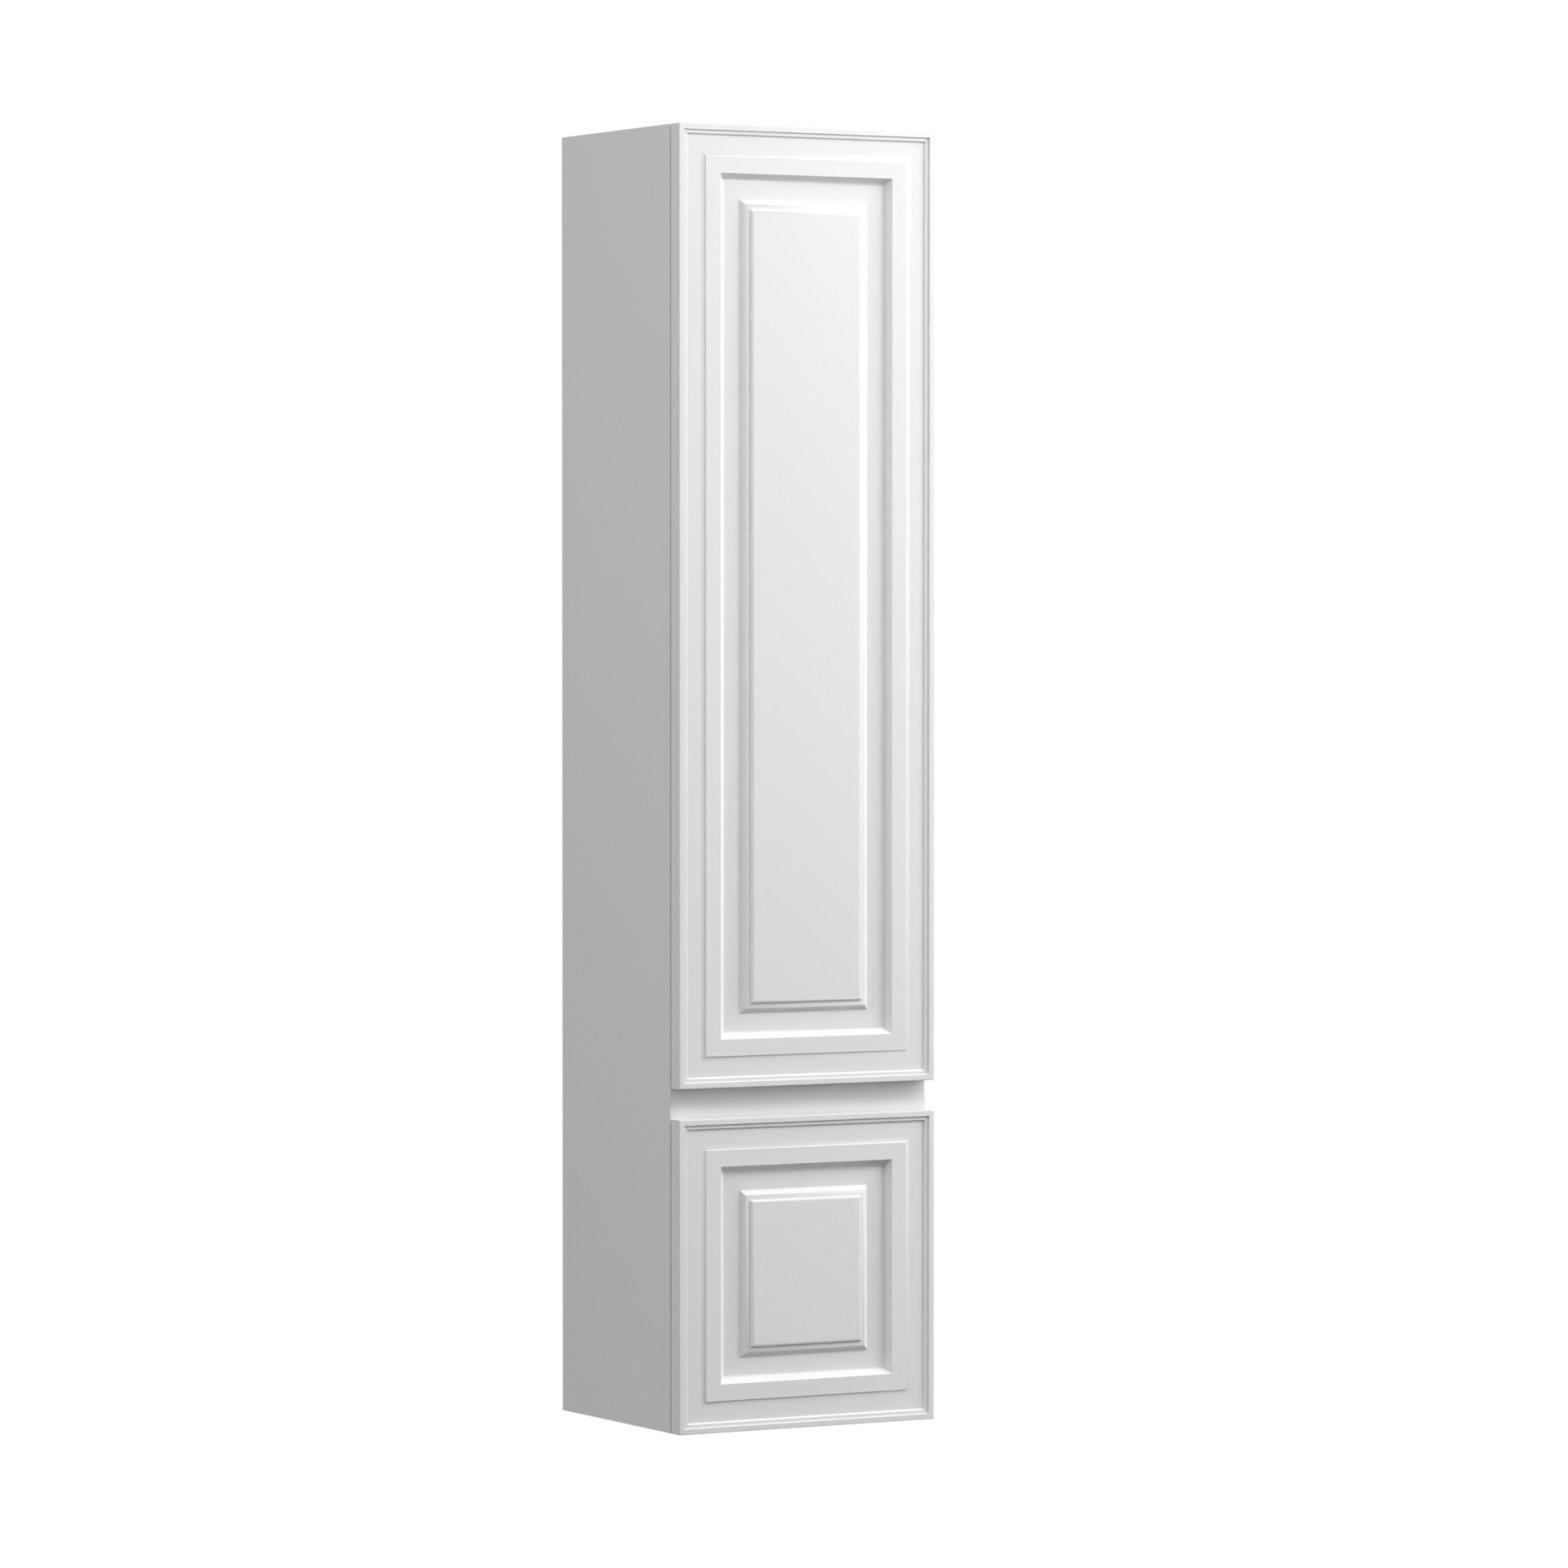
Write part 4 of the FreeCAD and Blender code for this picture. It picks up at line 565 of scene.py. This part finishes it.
def softened(points, radius, count):
    """The same polyline with every clear corner rounded."""
    out = [points[0]]
    for before, corner, after in zip(points, points[1:], points[2:]):
        back = before - corner
        ahead = after - corner
        opening = back.angle(ahead)
        if opening > STRAIGHT:
            out.append(corner)
            continue
        reach = min(radius / math.tan(opening / 2), back.length * MOST_OF_RUN, ahead.length * MOST_OF_RUN)
        start = corner + back.normalized() * reach
        end = corner + ahead.normalized() * reach
        for i in range(count + 1):
            t = i / count
            out.append(start * (1 - t) ** 2 + corner * 2 * t * (1 - t) + end * t ** 2)
    out.append(points[-1])
    return out


def moulding_profile(m):
    """The milled profile from the front's outer edge to the centre panel, in millimetres."""
    points = [Vector((0.0, m.arris))]
    points += arc_points(Vector((0.0, m.arris)), Vector((m.arris, 0.0)), m.arris, False, 5)
    straight = [(m.rim, 0.0), (m.step, m.step_deep), (m.ledge, m.step_deep)]
    points += [Vector(p) for p in straight]
    field = Vector((m.field, m.field_deep))
    points += arc_points(points[-1], field, m.field_hollow, True, 5)
    points.append(Vector((m.hollow, m.field_deep)))
    points += arc_points(points[-1], Vector((m.edge, m.edge_deep)), m.hollow_radius, True, 5)
    raised = [(m.frame_outer, m.frame_deep), (m.frame_inner, m.frame_deep), (m.wall, m.wall_deep)]
    points += [Vector(p) for p in raised]
    points += arc_points(points[-1], Vector((m.cove, m.recess_deep)), m.cove_radius, True, 8)
    points.append(Vector((m.ovolo, m.recess_deep)))
    points += arc_points(points[-1], Vector((m.ovolo_top, m.ovolo_top_deep)), m.ovolo_radius, False, 10)
    points.append(Vector((m.quirk, m.quirk_deep)))
    points += arc_points(points[-1], Vector((m.panel, m.frame_deep)), m.panel_radius, False, 6)
    return softened(points, m.paint_edge, 3)


def moulded_front(name, node, bores):
    """A front milled from one board: its outline is the CAD node's, its face is inset step by
    step along the profile, and its rear has the round bores."""
    low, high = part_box(node)
    moulding = bpy.context.scene.tall_cabinet_moulding
    profile = [point * MM for point in moulding_profile(moulding)]
    bm = block(Vector((low.x, low.y + profile[0].y, low.z)), high)
    bm.faces.ensure_lookup_table()
    face = min(bm.faces, key=lambda f: f.calc_center_median().y)
    rear = [edge for edge in bm.edges if all(v.co.y > high.y - SAME_POINT for v in edge.verts)]
    soft = bpy.context.scene.tall_cabinet_lacquer.rear_edge * MM
    bmesh.ops.bevel(bm, geom=rear, offset=soft, affect="EDGES", segments=2, profile=0.5, material=-1)
    for before, after in zip(profile, profile[1:]):
        bmesh.ops.inset_region(bm, faces=[face], thickness=after.x - before.x, depth=before.y - after.y,
                               use_even_offset=True, use_boundary=True)
    if bores:
        fittings = bpy.context.scene.tall_cabinet_fittings
        depth = fittings.cup_bore * MM
        cutter = bmesh.new()
        for z in bores:
            turn = Matrix.Rotation(math.radians(90), 4, "X")
            place = Vector((high.x - fittings.cup_from_edge * MM, high.y - depth / 2 + CUT_PAST, z))
            bmesh.ops.create_cone(cutter, cap_ends=True, segments=96, radius1=fittings.cup_radius * MM,
                                  radius2=fittings.cup_radius * MM, depth=depth + 2 * CUT_PAST,
                                  matrix=Matrix.Translation(place) @ turn)
        bm = cut_bmesh(bm, cutter)
    return new_piece(name, bm, node, 28.0)


def cross_screw(head_radius, head_height, shank_radius, reach, domed):
    """A screw along +Z with its seat at the origin, its head above and a cross recess in it."""
    bm = bmesh.new()
    bmesh.ops.create_cone(bm, cap_ends=True, segments=32, radius1=head_radius, radius2=head_radius,
                          depth=head_height, matrix=Matrix.Translation((0, 0, head_height / 2)))
    top = [edge for edge in bm.edges if all(v.co.z > head_height - SAME_POINT for v in edge.verts)]
    bmesh.ops.bevel(bm, geom=top, offset=head_height * (0.7 if domed else 0.25), affect="EDGES",
                    segments=5, profile=0.5, material=-1)
    cutter = bmesh.new()
    arm = head_radius * 0.52
    blade = head_radius * 0.13
    deep = head_height * 0.62
    foot_taper = (0.45, 0.7, 1.0)
    for turn in (0, 90):
        made = bmesh.ops.create_cube(cutter, size=1.0)["verts"]
        bmesh.ops.scale(cutter, vec=(arm * 2, blade * 2, deep * 2), verts=made)
        low = [v for v in made if v.co.z < 0]
        bmesh.ops.scale(cutter, vec=foot_taper, verts=low)
        bmesh.ops.rotate(cutter, cent=(0, 0, 0), verts=made,
                         matrix=Matrix.Rotation(math.radians(turn), 3, "Z"))
        bmesh.ops.translate(cutter, vec=(0, 0, head_height), verts=made)
        if turn == 0:
            bm = cut_bmesh(bm, cutter)
            cutter = bmesh.new()
    bm = cut_bmesh(bm, cutter)
    bmesh.ops.create_cone(bm, cap_ends=True, segments=16, radius1=shank_radius * 0.55, radius2=shank_radius,
                          depth=reach, matrix=Matrix.Translation((0, 0, -reach / 2)))
    return bm


def screw_group(name, node, screw, places):
    """Copies of one screw; places are (seat, outward direction)."""
    mesh = bpy.data.meshes.new("one_screw")
    screw.to_mesh(mesh)
    screw.free()
    bm = bmesh.new()
    for i, (seat, out) in enumerate(places):
        known = set(bm.verts)
        bm.from_mesh(mesh)
        made = [v for v in bm.verts if v not in known]
        spin = Matrix.Rotation(0.7 + 1.3 * i, 4, "Z")
        turn = Vector(out).to_track_quat("Z", "Y").to_matrix().to_4x4()
        bmesh.ops.transform(bm, matrix=Matrix.Translation(seat) @ turn @ spin, verts=made)
    bpy.data.meshes.remove(mesh)
    return new_piece(name, bm, node, 40.0)


def solid_boxes(node):
    """The box of each separate solid of a CAD node."""
    bm = bmesh.new()
    bm.from_mesh(frame["nodes"][node].data)
    bmesh.ops.remove_doubles(bm, verts=bm.verts, dist=SAME_POINT)
    left = set(bm.verts)
    boxes = []
    while left:
        reach = [left.pop()]
        island = list(reach)
        while reach:
            for edge in reach.pop().link_edges:
                for vert in edge.verts:
                    if vert in left:
                        left.remove(vert)
                        reach.append(vert)
                        island.append(vert)
        low = Vector([min(v.co[i] for v in island) for i in range(3)])
        high = Vector([max(v.co[i] for v in island) for i in range(3)])
        boxes.append((low, high))
    bm.free()
    return sorted(boxes, key=lambda b: (round(b[0].z, 4), round(b[0].x, 4), round(b[0].y, 4)))


def seats(node, axis, outward, head_height):
    """Seat and outward direction of each screw of a node whose heads all lie along one axis."""
    places = []
    for low, high in solid_boxes(node):
        middle = (low + high) / 2
        sign = outward(middle)
        end = high if sign > 0 else low
        seat = middle.copy()
        seat[axis] = end[axis] - sign * head_height
        out = Vector((0, 0, 0))
        out[axis] = sign
        places.append((seat, out))
    return places


# --- operators -----------------------------------------------------------------------------------


class TALLCABINET_OT_carcass_boards(bpy.types.Operator):
    """Lacquer the carcass boards and soften their edges"""

    bl_idname = "tall_cabinet.carcass_boards"
    bl_label = "Carcass Boards"

    def execute(self, context):
        edge = context.scene.tall_cabinet_lacquer.board_edge * MM
        dress(["side_panel_left", "side_panel_right", "top_panel", "bottom_panel", "middle_panel",
               "finger_rail", "lower_back_rail"], edge)
        dress(["back_panel"], 0.0)
        return {"FINISHED"}


class TALLCABINET_OT_fronts(bpy.types.Operator):
    """Mill the door and the drawer front"""

    bl_idname = "tall_cabinet.fronts"
    bl_label = "Door and Drawer Front"

    def execute(self, context):
        cups = [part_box("hinge_cup_" + str(i + 1)) for i in range(3)]
        moulded_front("door_moulded", "door_front", [(low.z + high.z) / 2 for low, high in cups])
        moulded_front("drawer_front_moulded", "drawer_front", [])
        return {"FINISHED"}


class TALLCABINET_OT_shelves(bpy.types.Operator):
    """Face the shelves and plate their pins"""

    bl_idname = "tall_cabinet.shelves"
    bl_label = "Shelves"

    def execute(self, context):
        edge = context.scene.tall_cabinet_lacquer.board_edge * MM
        dress(["shelf_1", "shelf_2", "shelf_3"], edge)
        dress(["shelf_pins"], context.scene.tall_cabinet_fittings.metal_edge * MM)
        return {"FINISHED"}


class TALLCABINET_OT_hinges(bpy.types.Operator):
    """Plate the concealed hinges and give them their screws"""

    bl_idname = "tall_cabinet.hinges"
    bl_label = "Concealed Hinges"

    def execute(self, context):
        edge = context.scene.tall_cabinet_fittings.metal_edge * MM
        for i in (1, 2, 3):
            dress(["%s_%d" % (name, i) for name in (
                "hinge_cup", "hinge_arm", "hinge_plate", "hinge_outer_link", "hinge_inner_link")], edge)
        dress(["hinge_arm_pins", "hinge_outer_pins", "hinge_inner_pins"], 0.0)
        screw_group("hinge_plate_cross_screws", "hinge_plate_screws",
                    cross_screw(SCREW_HEAD, DOMED_HEAD, SCREW_SHANK, 14.0 * MM, True),
                    seats("hinge_plate_screws", 0, lambda middle: -1, DOMED_HEAD))
        screw_group("hinge_cup_cross_screws", "hinge_cup_screws",
                    cross_screw(SCREW_HEAD, DOMED_HEAD, SCREW_SHANK, 12.2 * MM, True),
                    seats("hinge_cup_screws", 1, lambda middle: 1, DOMED_HEAD))
        return {"FINISHED"}


class TALLCABINET_OT_drawer_box(bpy.types.Operator):
    """Face the drawer box and give its front its screws"""

    bl_idname = "tall_cabinet.drawer_box"
    bl_label = "Drawer Box"

    def execute(self, context):
        edge = context.scene.tall_cabinet_lacquer.board_edge * MM
        dress(["drawer_side_left", "drawer_side_right", "drawer_inner_front", "drawer_back"], edge)
        dress(["drawer_bottom"], 0.0)
        screw_group("front_cross_screws", "front_screws",
                    cross_screw(SCREW_HEAD, DOMED_HEAD, SCREW_SHANK, 25.0 * MM, True),
                    seats("front_screws", 1, lambda middle: 1, DOMED_HEAD))
        return {"FINISHED"}


class TALLCABINET_OT_runners(bpy.types.Operator):
    """Plate the drawer runners and give them their flat screws"""

    bl_idname = "tall_cabinet.runners"
    bl_label = "Drawer Runners"

    def execute(self, context):
        edge = context.scene.tall_cabinet_fittings.metal_edge * MM
        for side in ("left", "right"):
            dress(["runner_cabinet_" + side, "runner_middle_" + side, "runner_drawer_" + side], edge)
        screw_group("runner_cross_screws", "runner_screws",
                    cross_screw(SCREW_HEAD, FLAT_HEAD, SCREW_SHANK, 12.2 * MM, False),
                    seats("runner_screws", 0, lambda middle: -1 if middle.x > 0 else 1, FLAT_HEAD))
        screw_group("runner_drawer_cross_screws", "runner_drawer_screws",
                    cross_screw(SCREW_HEAD, FLAT_HEAD, SCREW_SHANK, 12.2 * MM, False),
                    seats("runner_drawer_screws", 0, lambda middle: 1 if middle.x > 0 else -1, FLAT_HEAD))
        return {"FINISHED"}


class TALLCABINET_OT_hangers(bpy.types.Operator):
    """Finish the wall plates, hooks, hanger bodies and their covers"""

    bl_idname = "tall_cabinet.hangers"
    bl_label = "Wall Hangers"

    def execute(self, context):
        edge = context.scene.tall_cabinet_fittings.metal_edge * MM
        for side in ("left", "right"):
            dress(["wall_plate_" + side, "hanger_hook_" + side, "hanger_body_" + side], edge)
            dress(["hanger_cover_" + side], 2 * edge)
        screw_group("hanger_cross_adjusters", "hanger_adjusters",
                    cross_screw(SCREW_HEAD, ADJUSTER_HEAD, ADJUSTER_SHANK, 8.0 * MM, False),
                    seats("hanger_adjusters", 1, lambda middle: -1, ADJUSTER_HEAD))
        return {"FINISHED"}


class TALLCABINET_OT_small_pieces(bpy.types.Operator):
    """Finish the dowels and the soft bumpers"""

    bl_idname = "tall_cabinet.small_pieces"
    bl_label = "Dowels and Bumpers"

    def execute(self, context):
        dress(["carcass_dowels", "drawer_dowels"], 0.0)
        dress(["front_bumpers"], BUMPER_EDGE)
        return {"FINISHED"}


def soft_light(name, place, aim, width, height, power):
    """A rectangular soft light that faces a point."""
    lamp = bpy.data.lights.new(name, "AREA")
    lamp.shape = "RECTANGLE"
    lamp.size = width
    lamp.size_y = height
    lamp.energy = power
    holder = bpy.data.objects.new(name, lamp)
    bpy.context.scene.collection.objects.link(holder)
    holder.location = place
    holder.rotation_euler = (Vector(aim) - Vector(place)).to_track_quat("-Z", "Y").to_euler()


# Each soft light's name, place, the point it faces, width and height, in metres.
SOFT_LIGHTS = (
    ("Upper Light", (1.2, -2.4, 1.6), (0.0, -0.25, -0.4), 1.6, 1.2),
    ("Left Light", (-5.0, -1.5, 0.3), (0.0, -0.15, -0.7), 3.0, 3.0),
    ("Left High Light", (-3.2, -1.0, 2.4), (0.0, -0.15, -0.6), 2.0, 2.0),
    ("Right Light", (3.4, -2.35, 0.15), (0.0, -0.2, -0.7), 2.5, 2.5),
    ("Right High Light", (3.6, -1.6, 2.6), (0.0, -0.2, -0.6), 1.5, 1.5),
    ("Back Light", (1.2, 4.5, 0.8), (0.0, 0.0, -0.7), 3.0, 3.0),
)


def surround(studio):
    """A plain surround: white where the camera sees it, softly bright in reflections, and a sky."""
    world = bpy.data.worlds.new("Studio Surround")
    bpy.context.scene.world = world
    world.use_nodes = True
    tree = world.node_tree
    tree.nodes.clear()
    place = tree.nodes.new("ShaderNodeTexCoord")
    split = tree.nodes.new("ShaderNodeSeparateXYZ")
    join(tree, place.outputs["Generated"], split.inputs["Vector"])
    fade = tree.nodes.new("ShaderNodeMapRange")
    fade.interpolation_type = "SMOOTHSTEP"
    fade.inputs["To Max"].default_value = studio.sky
    join(tree, split.outputs["Z"], fade.inputs["Value"])
    light = tree.nodes.new("ShaderNodeBackground")
    join(tree, fade.outputs["Result"], light.inputs["Strength"])
    path = tree.nodes.new("ShaderNodeLightPath")
    surface = light.outputs["Background"]
    for ray, brightness in (("Is Glossy Ray", studio.glow), ("Is Camera Ray", 1.0)):
        plain = tree.nodes.new("ShaderNodeBackground")
        plain.inputs["Color"].default_value = (1.0, 1.0, 1.0, 1.0)
        plain.inputs["Strength"].default_value = brightness
        mix = tree.nodes.new("ShaderNodeMixShader")
        join(tree, path.outputs[ray], mix.inputs["Fac"])
        join(tree, surface, mix.inputs[1])
        join(tree, plain.outputs["Background"], mix.inputs[2])
        surface = mix.outputs["Shader"]
    out = tree.nodes.new("ShaderNodeOutputWorld")
    join(tree, surface, out.inputs["Surface"])


def pale_floor(studio):
    """A wide plain floor, well below the hung cabinet, white where the camera sees it."""
    bm = bmesh.new()
    bmesh.ops.create_grid(bm, x_segments=8, y_segments=8, size=FLOOR_REACH)
    bmesh.ops.translate(bm, vec=(0, 0, cad_bounds[0].z - studio.floor_below), verts=bm.verts)
    mesh = bpy.data.meshes.new("pale_floor")
    bm.to_mesh(mesh)
    bm.free()
    floor = bpy.data.objects.new("pale_floor", mesh)
    bpy.context.scene.collection.objects.link(floor)
    material = bpy.data.materials.new("Pale Floor")
    material.use_nodes = True
    tree = material.node_tree
    shader = tree.nodes["Principled BSDF"]
    place = tree.nodes.new("ShaderNodeTexCoord")
    tint = tree.nodes.new("ShaderNodeMix")
    tint.data_type = "RGBA"
    tint.inputs["A"].default_value = opaque(studio.floor)
    tint.inputs["B"].default_value = opaque(studio.floor, 0.98)
    mottle = noise(tree, place.outputs["Object"], scale=1.5, detail=3.0)
    join(tree, mottle, tint.inputs["Factor"])
    join(tree, tint.outputs["Result"], shader.inputs["Base Color"])
    shader.inputs["Roughness"].default_value = 0.9
    seen = tree.nodes.new("ShaderNodeEmission")
    path = tree.nodes.new("ShaderNodeLightPath")
    mix = tree.nodes.new("ShaderNodeMixShader")
    join(tree, path.outputs["Is Camera Ray"], mix.inputs["Fac"])
    join(tree, shader.outputs["BSDF"], mix.inputs[1])
    join(tree, seen.outputs["Emission"], mix.inputs[2])
    join(tree, mix.outputs["Shader"], tree.nodes["Material Output"].inputs["Surface"])
    mesh.materials.append(material)


class TALLCABINET_OT_stage(bpy.types.Operator):
    """Set up the camera, the pale floor and the soft studio light"""

    bl_idname = "tall_cabinet.stage"
    bl_label = "Stage"

    def execute(self, context):
        scene = context.scene
        studio = scene.tall_cabinet_studio
        scene.view_settings.view_transform = "Standard"
        camera = bpy.data.cameras.new("Photograph Camera")
        camera.sensor_width = 36.0
        camera.lens = studio.lens
        camera.clip_end = CAMERA_FAR
        holder = bpy.data.objects.new("Photograph Camera", camera)
        scene.collection.objects.link(holder)
        holder.location = studio.camera_place
        holder.rotation_euler = (math.radians(90) - studio.camera_dip, 0, -studio.camera_turn)
        scene.camera = holder
        surround(studio)
        pale_floor(studio)
        for name, place, aim, width, height in SOFT_LIGHTS:
            setting = name.removesuffix(" Light").lower().replace(" ", "_")
            soft_light(name, place, aim, width, height, getattr(studio, setting))
        return {"FINISHED"}


class TALLCABINET_PT_panel(bpy.types.Panel):
    """Buttons for each group of pieces and their settings"""

    bl_label = "Tall Cabinet"
    bl_idname = "TALLCABINET_PT_panel"
    bl_space_type = "VIEW_3D"
    bl_region_type = "UI"
    bl_category = "Tall Cabinet"

    def draw(self, context):
        layout = self.layout
        for operator in OPERATORS:
            layout.operator(operator.bl_idname)
        for settings in SETTINGS:
            box = layout.box()
            group = getattr(context.scene, settings)
            for name in group.bl_rna.properties.keys():
                if name not in ("rna_type", "name"):
                    box.prop(group, name)


OPERATORS = (
    TALLCABINET_OT_carcass_boards, TALLCABINET_OT_fronts, TALLCABINET_OT_shelves,
    TALLCABINET_OT_hinges, TALLCABINET_OT_drawer_box, TALLCABINET_OT_runners,
    TALLCABINET_OT_hangers, TALLCABINET_OT_small_pieces, TALLCABINET_OT_stage,
)
SETTINGS = {
    "tall_cabinet_moulding": MouldingSettings,
    "tall_cabinet_lacquer": LacquerSettings,
    "tall_cabinet_fittings": FittingSettings,
    "tall_cabinet_studio": StudioSettings,
}


def register():
    for settings, group in SETTINGS.items():
        bpy.utils.register_class(group)
        setattr(bpy.types.Scene, settings, bpy.props.PointerProperty(type=group))
    for operator in OPERATORS:
        bpy.utils.register_class(operator)
    bpy.utils.register_class(TALLCABINET_PT_panel)


def unregister():
    bpy.utils.unregister_class(TALLCABINET_PT_panel)
    for operator in reversed(OPERATORS):
        bpy.utils.unregister_class(operator)
    for settings, group in SETTINGS.items():
        delattr(bpy.types.Scene, settings)
        bpy.utils.unregister_class(group)


def main():
    register()
    bpy.ops.tall_cabinet.stage()
    bpy.ops.tall_cabinet.carcass_boards()
    bpy.ops.tall_cabinet.fronts()
    bpy.ops.tall_cabinet.shelves()
    bpy.ops.tall_cabinet.hinges()
    bpy.ops.tall_cabinet.drawer_box()
    bpy.ops.tall_cabinet.runners()
    bpy.ops.tall_cabinet.hangers()
    bpy.ops.tall_cabinet.small_pieces()


if __name__ == "__main__":
    main()
